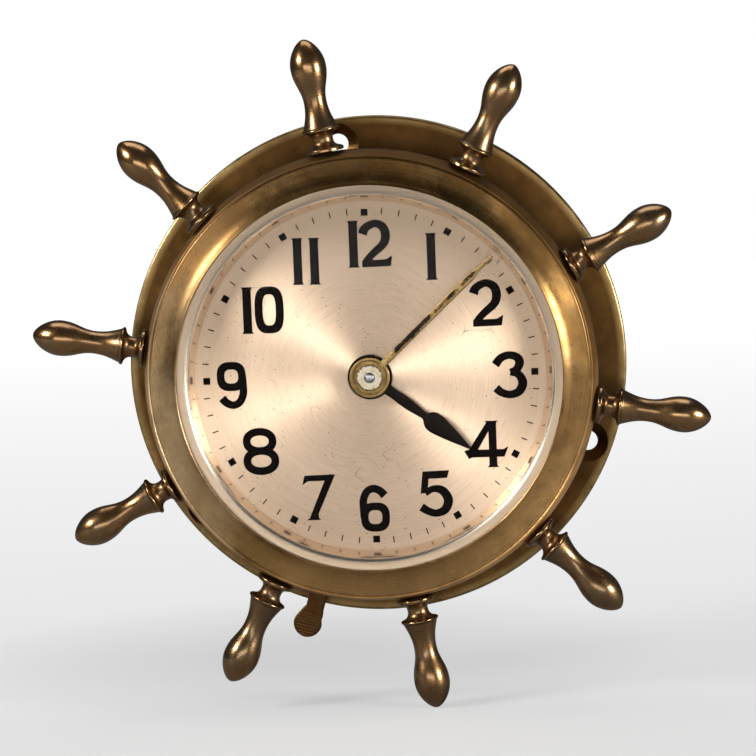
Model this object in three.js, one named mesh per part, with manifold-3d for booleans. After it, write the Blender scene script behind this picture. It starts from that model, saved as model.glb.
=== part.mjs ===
// A brass ship's-wheel clock with a rim-wound eight-day lever movement, as it hangs on a wall.
// Millimetres, +Z up. The back of the flange is the plane y = 0, the dial faces -Y, and the
// origin is where the clock's axis meets that plane. Inside the clock group, z is the height
// above the wall, x points to 3 o'clock and y to 12 o'clock. Angles are in degrees,
// counter-clockwise from 3 o'clock as seen from the front.
import * as THREE from 'three';
import { mergeVertices } from 'three/addons/utils/BufferGeometryUtils.js';
import Module from 'manifold-3d';

const wasm = await Module();
wasm.setup();

// Clearances
const seat = 0.3; // between pieces that touch or run on each other
const pivotPlay = 0.3; // round a pivot in its hole

// Driving sizes: the case drum, the dial's height above the wall, and the spokes
const drumRadius = 58.5;
const dialFace = 36;
const spokeLength = 33.9;

// Case drum, with the snap bead that keeps the wheel on
const drumWall = 1.6;
const drumSetback = 1.5;
const beadHeight = 1.1;
const beadWidth = 0.8;
const drumInside = drumRadius - drumWall;

// Mounting flange
const flangeWidth = 17.7;
const flangeRadius = drumRadius + flangeWidth;
const flangeThickness = 3;
const flangeRound = 0.9;
const screwCircle = drumRadius + flangeWidth * 0.565;
const screwCount = 3;
const screwTurn = 98;
const screwHoleRadius = 3.1;
const countersinkRadius = 6.3;
const countersinkDepth = 1.9;

// Crystal, dial and surround
const sightInset = 0.9;
const sightRadius = drumRadius - sightInset;
const crystalThickness = 1.4;
const crystalPlay = 0.4;
const crystalRingWidth = 0.8;
const handRoom = 5.2;
const dialThickness = 1;
const dialRadius = sightRadius - seat;
const dialHole = 4.1;
const surroundWidth = 4.1;
const surroundHead = sightRadius - 0.4;
const surroundFoot = surroundHead - surroundWidth;
const surroundHeight = 4.2;
const surroundWall = 0.6;
const dialBack = dialFace - dialThickness;
const drumFront = dialBack - drumSetback;
const crystalBack = dialFace + handRoom;
const crystalFront = crystalBack + crystalThickness;

// Wheel rim, which is also the bezel
const rimSection = 9.5;
const rimRadius = drumRadius + rimSection;
const lipBead = 1.4;
const lipThickness = 1;
const hollowWidth = 1;
const hollowDrop = 1.35;
const faceDrop = 2.7;
const shoulderDrop = 5.5;
const rimDepth = 11.7;
const grooveInset = 2.2;
const grooveHalfWidth = 0.3;
const grooveDepth = 0.5;
const skirtWall = 0.8;
const grooveRadius = rimRadius - grooveInset;
const rebateRadius = sightRadius + lipBead + 0.2;
const rimFront = crystalFront + seat + lipThickness;
const rimShoulder = rimFront - shoulderDrop;
const rimBack = rimFront - rimDepth;

// Spokes: heights along a spoke are shares of its length
const spokeCount = 10;
const spokeTurn = -8.8;
const spokePlane = (rimShoulder + rimBack) / 2;
const studRadius = 2;
const studLength = 3.6;
const flareRadius = 5.6;
const flareEdge = 1.1;
const neckRadius = 3.2;
const collarRadius = 5.7;
const collarEdge = 0.6;
const collarStart = spokeLength * 0.185;
const waistRadius = 3.4;
const waistHeight = spokeLength * 0.445;
const knobRadius = 5.35;
const knobHeight = spokeLength * 0.755;
const tipRadius = 1.7;

// Movement plates and pillars
const plateClearance = 0.9;
const plateRadius = drumInside - plateClearance;
const plateThickness = 2;
const backRoom = 4;
const motionRoom = 5.5;
const pillarCircle = plateRadius * 0.875;
const pillarTurns = [5, 110, 200, 325];
const pillarRadius = 3;
const pillarFootRadius = 3.6;
const pillarPinRadius = 2;
const pillarPinEnd = 1;
const footCircle = plateRadius * 0.82;
const footTurns = [60, 165, 275];
const footRadius = 1.6;
const arborRadius = 1.1;
const pivotRadius = 0.7;
const backPlateBack = flangeThickness + backRoom;
const backPlateFront = backPlateBack + plateThickness;
const frontPlateFront = dialBack - motionRoom;
const frontPlateBack = frontPlateFront - plateThickness;
const movementRoom = frontPlateBack - backPlateFront;
const trainHeight = (share) => backPlateFront + movementRoom * share;

// Tooth proportions in modules. A tooth is a plain point, and its flanks meet the next tooth's at the root.
const addendum = 0.8;
const dedendum = 1.1;
const pitchRadius = (teeth, module) => (teeth * module) / 2;

// Winding train: toothed ring in the rim's skirt, winding pinion, ratchet wheel on the barrel arbor
const ringLift = 2.75;
const ringTeeth = 70;
const windingModule = (2 * (drumRadius + ringLift)) / ringTeeth;
const windingTurn = 290;
const windingPinionTeeth = 8;
const ratchetTeeth = 16;
const ringThickness = 3.1;
const ringWall = 1;
const ringBack = trainHeight(0.68);
const ringFront = ringBack + ringThickness;
const windingPinionThickness = 2.4;
const windingBack = ringBack + (ringThickness - windingPinionThickness) / 2;
const windingFront = windingBack + windingPinionThickness;
const barrelArborRadius = 2.5;
const clickTurn = 205;
const clickSweep = 31;
const clickEye = 2.6;
const clickNose = 0.5;
const clickClearance = 0.5;
const clickPivotGap = 4.2;

// Going train: modules are shares of the plates, so that the train fills them at any size
const pinionLeaves = 6;
const wheelThickness = 1;
const pinionThickness = 2;
const barrelTeeth = 36;
const barrelModule = plateRadius * 0.01875;
const barrelBack = trainHeight(0.05);
const barrelWall = 1;
const barrelCoverThickness = 0.9;
const greatWheelBack = trainHeight(0.43);
const barrelRadius = pitchRadius(barrelTeeth, barrelModule) - dedendum * barrelModule;
const mainspringTurns = 9;
const mainspringStrip = 0.5;
const intermediateTeeth = 36;
const intermediateModule = plateRadius * 0.01786;
const intermediateBack = trainHeight(0.59);
const centreTeeth = 48;
const centreModule = plateRadius * 0.0125;
const centreWheelBack = trainHeight(0.88);
const thirdTeeth = 45;
const thirdModule = plateRadius * 0.0125;
const thirdTurn = 150;
const thirdWheelBack = trainHeight(0.11);
const fourthTeeth = 48;
const fourthModule = plateRadius * 0.01036;
const fourthTurn = 60;
const fourthWheelBack = trainHeight(0.59);
const escapeTurn = 10;

// Escapement
const escapeTeeth = 15;
const escapeRadius = plateRadius * 0.143;
const escapeBack = trainHeight(0.36);
const palletReach = 3.5;
const palletDistance = escapeRadius + palletReach;
const palletTurn = -20;
const palletSpan = 8;
const palletWidth = 1.4;
const palletBar = 1.1;
const palletClearance = 0.9;
const balanceRadius = plateRadius * 0.196;
const balanceRim = 1.8;
const balanceArm = 2.2;
const balanceBack = trainHeight(0.735);
const balanceDistance = balanceRadius + palletReach;
const balanceTurn = -25;
const forkGap = 4;
const hairspringTurns = 5;
const hairspringStrip = 0.3;
const hairspringHeight = 0.8;
const hairspringRadius = balanceRadius * 0.58;
const hairspringBack = balanceBack + 2 * wheelThickness + 2 * seat;
const studPinRadius = 0.8;

// Motion work
const minuteModule = plateRadius * 0.0134;
const cannonTeeth = 8;
const minuteWheelTeeth = 24;
const minutePinionTeeth = 6;
const hourWheelTeeth = 24;
const motionTurn = 215;
const motionGap = 0.6;
const centreArborRadius = 1.25;
const cannonPipeRadius = 2.3;
const hourPipeRadius = 3.5;
const motionBack = frontPlateFront + motionGap;
const hourWheelBack = motionBack + wheelThickness + 2 * motionGap;

// Hands: lengths are shares of the dial that shows inside the surround
const handThickness = 0.6;
const hourHandTurn = -37;
const hourHandLength = surroundFoot * 0.693;
const hourHubRadius = 6.7;
const hourNeckWidth = 2.2;
const hourLeafWidth = 6;
const hourLeafStart = hourHandLength * 0.545;
const hourLeafWidest = hourHandLength * 0.64;
const hourHandLift = 1.4;
const minuteHandTurn = 42.6;
const minuteHandLength = surroundFoot * 0.976;
const minuteHubRadius = 6;
const minuteRootWidth = 1.7;
const minuteBladeWidth = 2.3;
const minuteBladeWidest = minuteHandLength * 0.82;
const minuteStepWidth = 1.3;
const minuteStep = minuteHandLength * 0.86;
const minuteTipWidth = 0.9;
const minuteHandLift = 1;
const colletRadius = 3.8;
const colletThickness = 0.6;
const arborLift = 0.3;
const hourHandBack = dialFace + hourHandLift;
const minuteHandBack = hourHandBack + handThickness + minuteHandLift;
const cannonTop = minuteHandBack + handThickness;
const hourPipeTop = hourHandBack + handThickness + seat;
const colletBack = cannonTop + seat;
const arborTip = colletBack + colletThickness + arborLift;

// Setting lever
const leverTurn = 253;
const leverInset = 4.9;
const leverPivotCircle = drumInside - leverInset;
const leverOverhang = 9.7;
const leverReach = flangeRadius + leverOverhang;
const leverLift = 1.1;
const leverBack = backPlateFront + leverLift;
const leverThickness = 1.4;
const leverStemWidth = 5.5;
const leverPaddleRadius = 4.2;
const leverStemOffset = 0.7;
const leverBossRadius = 3.6;
const leverSwing = 20;
const leverPinRadius = 2;
const leverPinHead = 3.1;
const leverPinHeadHeight = 0.9;
const leverPinHeadBack = leverBack + leverThickness + seat;

// Facets
const facetsRim = 40;
const facetsLarge = 36;
const facetsSpoke = 10;
const facetsSmall = 10;
const facetsHole = 12;
const facetsPivot = 6;
const springSteps = 12;
const mergeDistance = 1e-4;

// Finishes
const finish = (color, metalness, roughness, more = {}) =>
  new THREE.MeshStandardMaterial({ color, metalness, roughness, ...more });
const agedBrass = finish(0x8a6a34, 1, 0.38);
const wheelBrass = finish(0x7d5a2e, 1, 0.3);
const brightBrass = finish(0xb8924a, 1, 0.32);
const silvered = finish(0xd8cbb8, 0.9, 0.35);
const steel = finish(0x8d8f92, 1, 0.35);
const blackPaint = finish(0x17130f, 0.2, 0.5);
const glass = finish(0xf4f6f5, 0, 0.05, { transparent: true, opacity: 0.2 });

const degrees = (angle) => (angle * Math.PI) / 180;
const polar = (radius, angle, from = { x: 0, y: 0 }) => ({
  x: from.x + radius * Math.cos(degrees(angle)),
  y: from.y + radius * Math.sin(degrees(angle)),
});
const origin = { x: 0, y: 0 };

// A flat strip wound in a spiral between two radii at its middle, standing on edge between two heights
function spiralStrip(name, inner, outer, turns, strip, back, front) {
  const steps = turns * springSteps;
  const edge = (side) =>
    Array.from({ length: steps + 1 }, (_, i) => {
      const p = polar(inner + ((outer - inner) * i) / steps + (side * strip) / 2, (360 * i) / springSteps);
      return new THREE.Vector2(p.x, p.y);
    });
  const [inside, outside] = [edge(-1), edge(1)];
  const gaps = inside.slice(springSteps).map((point, i) => point.distanceTo(outside[i]));
  console.log(`${name}: least gap between turns ${Math.min(...gaps).toFixed(2)} mm`);
  return plate(new THREE.Shape([...outside, ...inside.reverse()]), back, front);
}

// One closed body: corners are merged, slivers are dropped and faces point outwards.
function closed(geometry) {
  const bare = new THREE.BufferGeometry();
  bare.setAttribute('position', geometry.getAttribute('position'));
  if (geometry.index) bare.setIndex(geometry.index);
  const merged = mergeVertices(bare, mergeDistance);
  const corner = (i) => new THREE.Vector3().fromBufferAttribute(merged.getAttribute('position'), i);
  const kept = [];
  let volume = 0;
  for (let i = 0; i < merged.index.count; i += 3) {
    const [a, b, c] = [0, 1, 2].map((k) => merged.index.getX(i + k));
    if (a === b || b === c || c === a) continue;
    kept.push([a, b, c]);
    volume += corner(a).dot(corner(b).cross(corner(c)));
  }
  merged.setIndex(kept.flatMap(([a, b, c]) => (volume > 0 ? [a, b, c] : [a, c, b])));
  return merged;
}

function toSolid(geometry) {
  const vertProperties = new Float32Array(geometry.getAttribute('position').array);
  const triVerts = new Uint32Array(geometry.index.array);
  return new wasm.Manifold(new wasm.Mesh({ numProp: 3, vertProperties, triVerts }));
}

function fromSolid(solid) {
  const mesh = solid.getMesh();
  const geometry = new THREE.BufferGeometry();
  geometry.setAttribute('position', new THREE.BufferAttribute(mesh.vertProperties, 3));
  geometry.setIndex([...mesh.triVerts]);
  return geometry;
}

const join = (...pieces) => fromSolid(pieces.map(toSolid).reduce((sum, piece) => sum.add(piece)));
const cut = (base, ...tools) =>
  fromSolid(tools.map(toSolid).reduce((rest, tool) => rest.subtract(tool), toSolid(base)));

// A profile of [radius, height] points turned about the clock's axis.
function turned(profile, facets = facetsLarge) {
  const points = profile.map(([radius, height]) => new THREE.Vector2(radius, height));
  return closed(new THREE.LatheGeometry(points, facets).rotateX(Math.PI / 2));
}

// A turned ring: its profile closes on itself.
const turnedRing = (profile, facets) => turned([...profile, profile[0]], facets);

// A flat outline given a thickness between two heights.
function plate(shape, back, front, curveSegments = facetsSmall) {
  const settings = { depth: front - back, bevelEnabled: false, curveSegments };
  return closed(new THREE.ExtrudeGeometry(shape, settings).translate(0, 0, back));
}

const rod = (radius, back, front, facets = facetsSmall) =>
  turned([[0, back], [radius, back], [radius, front], [0, front]], facets);

const moved = (geometry, at) => geometry.clone().translate(at.x, at.y, 0);

function roundHole(radius, facets = facetsSmall) {
  const hole = new THREE.Path();
  hole.setFromPoints(
    Array.from({ length: facets }, (_, i) => {
      const p = polar(radius, (-360 * i) / facets);
      return new THREE.Vector2(p.x, p.y);
    }),
  );
  return hole;
}

// Pointed clock teeth round a pitch circle; inward makes the teeth of an internal ring.
function toothPoints(teeth, module, phase, inward = false) {
  const side = inward ? -1 : 1;
  const tip = pitchRadius(teeth, module) + side * addendum * module;
  const root = pitchRadius(teeth, module) - side * dedendum * module;
  const pitch = 360 / teeth;
  const points = [];
  for (let i = 0; i < teeth; i += 1) {
    const middle = phase + i * pitch;
    points.push(polar(tip, middle));
    points.push(polar(root, middle + pitch / 2));
  }
  return points.map((p) => new THREE.Vector2(p.x, p.y));
}

const toothed = (teeth, module, phase, back, front) =>
  plate(new THREE.Shape(toothPoints(teeth, module, phase)), back, front);

// The turn that puts a gap of the driven gear on a tooth of its driver. Line is the direction
// from the driver's centre to the driven gear's centre.
function meshPhase(driverTeeth, driverPhase, drivenTeeth, line) {
  const driverPitch = 360 / driverTeeth;
  const lead = (driverPhase - line) % driverPitch;
  return line + 180 + 180 / drivenTeeth - (lead * driverTeeth) / drivenTeeth;
}

// The same for a pinion inside an internal ring.
function innerMeshPhase(ringTeethCount, ringPhase, drivenTeeth, line) {
  const lead = (ringPhase - line) % (360 / ringTeethCount);
  return line + 180 / drivenTeeth + (lead * ringTeethCount) / drivenTeeth;
}

const bearing = (from, to) => (Math.atan2(to.y - from.y, to.x - from.x) * 180) / Math.PI;

// Where two circles about a and b meet, on the left of the line from a to b.
function meeting(a, radiusA, b, radiusB) {
  const apart = Math.hypot(b.x - a.x, b.y - a.y);
  const cosine = (radiusA ** 2 + apart ** 2 - radiusB ** 2) / (2 * radiusA * apart);
  return polar(radiusA, bearing(a, b) + (Math.acos(cosine) * 180) / Math.PI, a);
}

// A steel arbor with a pivot at each end, which runs in the two movement plates.
function arbor(radius = arborRadius, tip = frontPlateFront) {
  return turned(
    [
      [0, backPlateBack],
      [pivotRadius, backPlateBack],
      [pivotRadius, backPlateFront + seat],
      [radius, backPlateFront + seat],
      [radius, frontPlateBack - seat],
      [pivotRadius, frontPlateBack - seat],
      [pivotRadius, tip],
      [0, tip],
    ],
    facetsPivot,
  );
}

const clock = new THREE.Group();
clock.rotation.x = Math.PI / 2;

function add(name, geometry, material, { at = origin, parent = clock } = {}) {
  const mesh = new THREE.Mesh(geometry, material);
  mesh.name = name;
  mesh.position.set(at.x, at.y, 0);
  parent.add(mesh);
  return mesh;
}

// Toothed ring's outside, and the skirt of the rim round it
const ringRadius = pitchRadius(ringTeeth, windingModule) + dedendum * windingModule + ringWall;
const skirtRadius = ringRadius + seat + skirtWall;

// Train positions
const windingPinionAt = polar(
  pitchRadius(ringTeeth, windingModule) - pitchRadius(windingPinionTeeth, windingModule),
  windingTurn,
);
const barrelAt = polar(
  -pitchRadius(windingPinionTeeth, windingModule) - pitchRadius(ratchetTeeth, windingModule),
  windingTurn,
  windingPinionAt,
);
const intermediateAt = meeting(
  origin,
  pitchRadius(intermediateTeeth + pinionLeaves, intermediateModule),
  barrelAt,
  pitchRadius(barrelTeeth + pinionLeaves, barrelModule),
);
const thirdAt = polar(pitchRadius(centreTeeth + pinionLeaves, centreModule), thirdTurn);
const fourthAt = polar(pitchRadius(thirdTeeth + pinionLeaves, thirdModule), fourthTurn, thirdAt);
const escapeAt = polar(pitchRadius(fourthTeeth + pinionLeaves, fourthModule), escapeTurn, fourthAt);
const palletAt = polar(palletDistance, palletTurn, escapeAt);
const balanceAt = polar(balanceDistance, balanceTurn, palletAt);
const ratchetTip = pitchRadius(ratchetTeeth, windingModule) + addendum * windingModule;
const clickAt = polar(ratchetTip + clickPivotGap, clickTurn, barrelAt);
const minuteWheelAt = polar(pitchRadius(cannonTeeth + minuteWheelTeeth, minuteModule), motionTurn);
// Both pairs of the motion work span the same distance, which sets the second pair's module
const hourModule = (minuteModule * (cannonTeeth + minuteWheelTeeth)) / (minutePinionTeeth + hourWheelTeeth);
const leverPivotAt = polar(leverPivotCircle, leverTurn);

// Mounting flange: a turned disc with three countersunk screw holes
function mountingFlange() {
  const disc = turned([
    [0, 0],
    [flangeRadius, 0],
    [flangeRadius, flangeThickness - flangeRound],
    [flangeRadius - flangeRound * 0.3, flangeThickness - flangeRound * 0.3],
    [flangeRadius - flangeRound, flangeThickness],
    [0, flangeThickness],
  ]);
  const sink = turned(
    [
      [0, -1],
      [screwHoleRadius, -1],
      [screwHoleRadius, flangeThickness - countersinkDepth],
      [countersinkRadius, flangeThickness],
      [countersinkRadius, flangeThickness + 1],
      [0, flangeThickness + 1],
    ],
    facetsHole,
  );
  const holes = Array.from({ length: screwCount }, (_, i) =>
    moved(sink, polar(screwCircle, screwTurn + (360 * i) / screwCount)),
  );
  return cut(disc, ...holes);
}
add('mounting_flange', mountingFlange(), agedBrass);

// A block across the drum's wall, for the windows cut through it
function wallCutter(turn, offset, width, back, front) {
  const block = new THREE.BoxGeometry(drumWall * 4, width, front - back);
  block.translate(drumRadius - drumWall / 2, offset, (back + front) / 2);
  return closed(block.rotateZ(degrees(turn)));
}

// Case drum: a tube on the flange, with a window for the winding pinion and a slot for the lever
function caseDrum() {
  const tube = turnedRing([
    [drumRadius, flangeThickness + seat],
    [drumRadius, drumFront - beadWidth],
    [drumRadius + beadHeight, drumFront - beadWidth],
    [drumRadius + beadHeight, drumFront],
    [drumInside, drumFront],
    [drumInside, flangeThickness + seat],
  ]);
  const windingTip = pitchRadius(windingPinionTeeth, windingModule) + addendum * windingModule;
  const window = wallCutter(windingTurn, 0, 2 * (windingTip + seat), ringBack - seat, ringFront + seat);
  const sideways = (drumRadius - leverPivotCircle) * Math.sin(degrees(leverSwing));
  const slotWidth = leverStemWidth + 2 * leverStemOffset + sideways + 4 * seat;
  const slot = wallCutter(
    leverTurn,
    sideways / 2,
    slotWidth,
    leverBack - seat,
    leverBack + leverThickness + seat,
  );
  return cut(tube, window, slot);
}
add('case_drum', caseDrum(), agedBrass);

// The wheel: rim, spokes, toothed winding ring and crystal turn together
const wheel = new THREE.Group();
clock.add(wheel);

function wheelRim() {
  const faceFront = rimFront - lipBead * 0.3;
  const grooveFront = rimFront - faceDrop;
  const outline = new THREE.Path();
  outline.moveTo(sightRadius, rimFront - lipThickness);
  outline.lineTo(sightRadius, rimFront - lipBead * 0.3);
  outline.quadraticCurveTo(sightRadius, rimFront, sightRadius + lipBead * 0.5, rimFront);
  outline.lineTo(sightRadius + lipBead, faceFront);
  outline.quadraticCurveTo(
    sightRadius + lipBead + hollowWidth,
    rimFront - hollowDrop,
    grooveRadius - grooveHalfWidth,
    grooveFront,
  );
  outline.lineTo(grooveRadius, grooveFront - grooveDepth);
  outline.lineTo(grooveRadius + grooveHalfWidth, grooveFront);
  outline.quadraticCurveTo(rimRadius, grooveFront, rimRadius, rimShoulder);
  outline.lineTo(rimRadius, rimBack);
  outline.lineTo(skirtRadius, rimBack);
  outline.lineTo(skirtRadius, ringBack);
  outline.lineTo(ringRadius + seat, ringBack);
  outline.lineTo(ringRadius + seat, ringFront + seat);
  const bore = drumRadius + seat;
  const relief = drumRadius + beadHeight + seat;
  const beadBack = drumFront - beadWidth - seat;
  outline.lineTo(bore, ringFront + seat);
  outline.lineTo(bore, beadBack);
  outline.lineTo(relief, beadBack);
  outline.lineTo(relief, drumFront + 2 * seat);
  outline.lineTo(rebateRadius, drumFront + 2 * seat);
  outline.lineTo(rebateRadius, rimFront - lipThickness);
  const profile = outline.getPoints(3).map((p) => [p.x, p.y]);
  const ring = turned([...profile, profile[0]], facetsRim);
  const hole = new THREE.CylinderGeometry(
    studRadius + seat,
    studRadius + seat,
    studLength + 2 * seat + flareEdge,
    facetsSpoke,
  );
  hole.translate(0, rimRadius - (studLength + 2 * seat - flareEdge) / 2, spokePlane);
  const holes = Array.from({ length: spokeCount }, (_, i) =>
    closed(hole.clone().rotateZ(degrees(spokeTurn - 90 + (360 * i) / spokeCount))),
  );
  return cut(ring, ...holes);
}
add('wheel_rim', wheelRim(), wheelBrass, { parent: wheel });

// A turned spoke along +Y: stud, flared foot, hollow neck, sharp collar and a swelling handle
function spoke() {
  const outline = new THREE.Path();
  outline.moveTo(0, -studLength);
  outline.lineTo(studRadius, -studLength);
  outline.lineTo(studRadius, 0);
  outline.lineTo(flareRadius, 0);
  outline.lineTo(flareRadius, flareEdge);
  const neckHeight = (flareEdge + collarStart) / 2;
  outline.quadraticCurveTo(neckRadius, flareEdge * 1.2, neckRadius, neckHeight);
  outline.quadraticCurveTo(neckRadius, collarStart * 0.95, collarRadius, collarStart);
  outline.lineTo(collarRadius, collarStart + collarEdge);
  const rise = waistHeight - collarStart;
  outline.bezierCurveTo(
    collarRadius * 0.86,
    collarStart + collarEdge + rise * 0.2,
    waistRadius,
    waistHeight - rise * 0.5,
    waistRadius,
    waistHeight,
  );
  const swell = knobHeight - waistHeight;
  outline.bezierCurveTo(
    waistRadius,
    waistHeight + swell * 0.4,
    knobRadius,
    knobHeight - swell * 0.45,
    knobRadius,
    knobHeight,
  );
  outline.bezierCurveTo(
    knobRadius,
    knobHeight + (spokeLength - knobHeight) * 0.5,
    tipRadius * 1.6,
    spokeLength,
    0,
    spokeLength,
  );
  const points = outline.getPoints(3);
  return closed(new THREE.LatheGeometry(points, facetsSpoke));
}

const spokeGeometry = spoke();
for (let i = 0; i < spokeCount; i += 1) {
  const arm = new THREE.Group();
  arm.rotation.z = degrees(spokeTurn - 90 + (360 * i) / spokeCount);
  wheel.add(arm);
  const mesh = add(`spoke_${i + 1}`, spokeGeometry, wheelBrass, { parent: arm });
  mesh.position.set(0, rimRadius + seat, spokePlane);
}

// Toothed ring behind the skirt, which turns the winding pinion
const ringPhase = windingTurn;
function windingRing() {
  const outer = Array.from({ length: facetsLarge }, (_, i) => polar(ringRadius, (360 * i) / facetsLarge));
  const shape = new THREE.Shape(outer.map((p) => new THREE.Vector2(p.x, p.y)));
  shape.holes.push(new THREE.Path(toothPoints(ringTeeth, windingModule, ringPhase, true)));
  return plate(shape, ringBack, ringFront);
}
add('winding_ring', windingRing(), agedBrass, { parent: wheel });

const crystalRadius = rebateRadius - crystalPlay;
add('crystal', rod(crystalRadius, crystalBack, crystalFront, facetsLarge), glass, { parent: wheel });

const crystalRingFront = crystalBack - seat;
const crystalRingOuter = rebateRadius - seat;
add(
  'crystal_ring',
  turnedRing([
    [crystalRingOuter - crystalRingWidth, crystalRingFront - crystalRingWidth],
    [crystalRingOuter, crystalRingFront - crystalRingWidth],
    [crystalRingOuter, crystalRingFront],
    [crystalRingOuter - crystalRingWidth, crystalRingFront],
  ]),
  brightBrass,
  { parent: wheel },
);

// Dial: a flat silvered disc, and round it a hollow-curved silvered ring that reaches the crystal
const dialOutline = turnedRing([
  [dialHole, dialBack],
  [dialRadius, dialBack],
  [dialRadius, dialFace],
  [dialHole, dialFace],
]);
add('dial_plate', dialOutline, silvered);

function dialSurround() {
  const back = dialFace + seat;
  const outline = new THREE.Path();
  outline.moveTo(surroundFoot, back);
  outline.quadraticCurveTo(
    surroundFoot + (surroundHead - surroundFoot) * 0.75,
    back + surroundHeight * 0.35,
    surroundHead,
    back + surroundHeight,
  );
  outline.lineTo(surroundHead + surroundWall, back + surroundHeight);
  outline.lineTo(surroundHead + surroundWall, back);
  const profile = outline.getPoints(3).map((p) => [p.x, p.y]);
  return turnedRing(profile, facetsLarge);
}
add('dial_surround', dialSurround(), silvered);

// Movement plates, drilled for every arbor and pillar
function movementPlate(back, centreRadius, extraHoles) {
  const disc = rod(plateRadius, back, back + plateThickness, facetsLarge);
  const drill = (radius, at, facets) =>
    moved(rod(radius, back - 1, back + plateThickness + 1, facets), at);
  const pivots = [
    windingPinionAt, barrelAt, intermediateAt, thirdAt, fourthAt, escapeAt, palletAt, balanceAt, clickAt,
  ].map((at) => drill(pivotRadius + pivotPlay, at, facetsPivot));
  const pins = pillarTurns.map((turn) =>
    drill(pillarPinRadius + seat, polar(pillarCircle, turn), facetsPivot),
  );
  const centre = drill(centreRadius + pivotPlay, origin, facetsPivot);
  const extras = extraHoles.map(([radius, at]) => drill(radius, at, facetsPivot));
  return cut(disc, ...pivots, ...pins, centre, ...extras);
}
add('back_plate', movementPlate(backPlateBack, pivotRadius, []), brightBrass);
add(
  'front_plate',
  movementPlate(frontPlateBack, centreArborRadius, [[pivotRadius + pivotPlay, minuteWheelAt]]),
  brightBrass,
);

// Pillars stand on the flange, carry the back plate and hold the front plate away from it
const pillar = turned(
  [
    [0, flangeThickness + seat],
    [pillarFootRadius, flangeThickness + seat],
    [pillarFootRadius, backPlateBack - seat],
    [pillarPinRadius, backPlateBack - seat],
    [pillarPinRadius, backPlateFront + seat],
    [pillarRadius, backPlateFront + seat],
    [pillarRadius, frontPlateBack - seat],
    [pillarPinRadius, frontPlateBack - seat],
    [pillarPinRadius, frontPlateFront + pillarPinEnd],
    [0, frontPlateFront + pillarPinEnd],
  ],
  facetsPivot,
);
pillarTurns.forEach((turn, i) => {
  add(`pillar_${i + 1}`, pillar, brightBrass, { at: polar(pillarCircle, turn) });
});

const dialFoot = rod(footRadius, frontPlateFront + seat, dialBack - seat, facetsPivot);
footTurns.forEach((turn, i) => {
  add(`dial_foot_${i + 1}`, dialFoot, brightBrass, { at: polar(footCircle, turn) });
});

// Winding pinion and ratchet wheel
const windingPinionPhase = innerMeshPhase(ringTeeth, ringPhase, windingPinionTeeth, windingTurn);
add(
  'winding_pinion',
  join(
    toothed(windingPinionTeeth, windingModule, windingPinionPhase, windingBack, windingFront),
    arbor(),
  ),
  steel,
  { at: windingPinionAt },
);
const ratchetPhase = meshPhase(windingPinionTeeth, windingPinionPhase, ratchetTeeth, windingTurn + 180);
add(
  'ratchet_wheel',
  join(
    toothed(ratchetTeeth, windingModule, ratchetPhase, windingBack, windingFront),
    arbor(barrelArborRadius),
  ),
  steel,
  { at: barrelAt },
);

// Click: a pawl whose nose rides just off the ratchet wheel's teeth
function click() {
  const noseAt = polar(ratchetTip + clickClearance + clickNose, clickTurn - clickSweep, barrelAt);
  const reach = Math.hypot(noseAt.x - clickAt.x, noseAt.y - clickAt.y);
  const lean = Math.acos((clickEye - clickNose) / reach);
  const shape = new THREE.Shape();
  shape.absarc(0, 0, clickEye, lean, 2 * Math.PI - lean, false);
  shape.absarc(reach, 0, clickNose, -lean, lean, false);
  const pawl = plate(shape, windingBack, windingFront, facetsPivot);
  return join(pawl.rotateZ(degrees(bearing(clickAt, noseAt))), arbor());
}
add('click', click(), steel, { at: clickAt });

// Mainspring barrel, loose on the barrel arbor: a cup open at its back, with the great wheel's teeth round
// its front, the wound mainspring inside and a cover over it
const barrelPhase = 0;
const barrelInside = barrelRadius - barrelWall;
const barrelBore = barrelArborRadius + pivotPlay;
const barrelCoverFront = barrelBack + barrelCoverThickness;
function mainspringBarrel() {
  const greatWheelFront = greatWheelBack + 2 * wheelThickness;
  const drum = rod(barrelRadius, barrelBack, greatWheelBack + wheelThickness / 2, facetsLarge / 2);
  const teeth = toothed(barrelTeeth, barrelModule, barrelPhase, greatWheelBack, greatWheelFront);
  const hollow = rod(barrelInside, barrelBack - 1, greatWheelBack, facetsLarge / 2);
  const bore = rod(barrelBore, backPlateBack, frontPlateBack, facetsSmall);
  return cut(join(drum, teeth), hollow, bore);
}
add('mainspring_barrel', mainspringBarrel(), brightBrass, { at: barrelAt });
add(
  'mainspring',
  spiralStrip(
    'mainspring',
    barrelArborRadius + 2 * seat + mainspringStrip / 2,
    barrelInside - 2 * seat - mainspringStrip / 2,
    mainspringTurns,
    mainspringStrip,
    barrelCoverFront + seat,
    greatWheelBack - seat,
  ),
  steel,
  { at: barrelAt },
);
add(
  'barrel_cover',
  turnedRing(
    [
      [barrelBore, barrelBack],
      [barrelInside - seat, barrelBack],
      [barrelInside - seat, barrelCoverFront],
      [barrelBore, barrelCoverFront],
    ],
    facetsLarge / 2,
  ),
  brightBrass,
  { at: barrelAt },
);

// A wheel and its pinion on one arbor
function wheelOnArbor(wheel, pinion) {
  const half = pinionThickness / 2;
  return join(
    arbor(),
    toothed(wheel.teeth, wheel.module, wheel.phase, wheel.back, wheel.back + wheelThickness),
    toothed(pinionLeaves, pinion.module, pinion.phase, pinion.middle - half, pinion.middle + half),
  );
}

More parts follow.
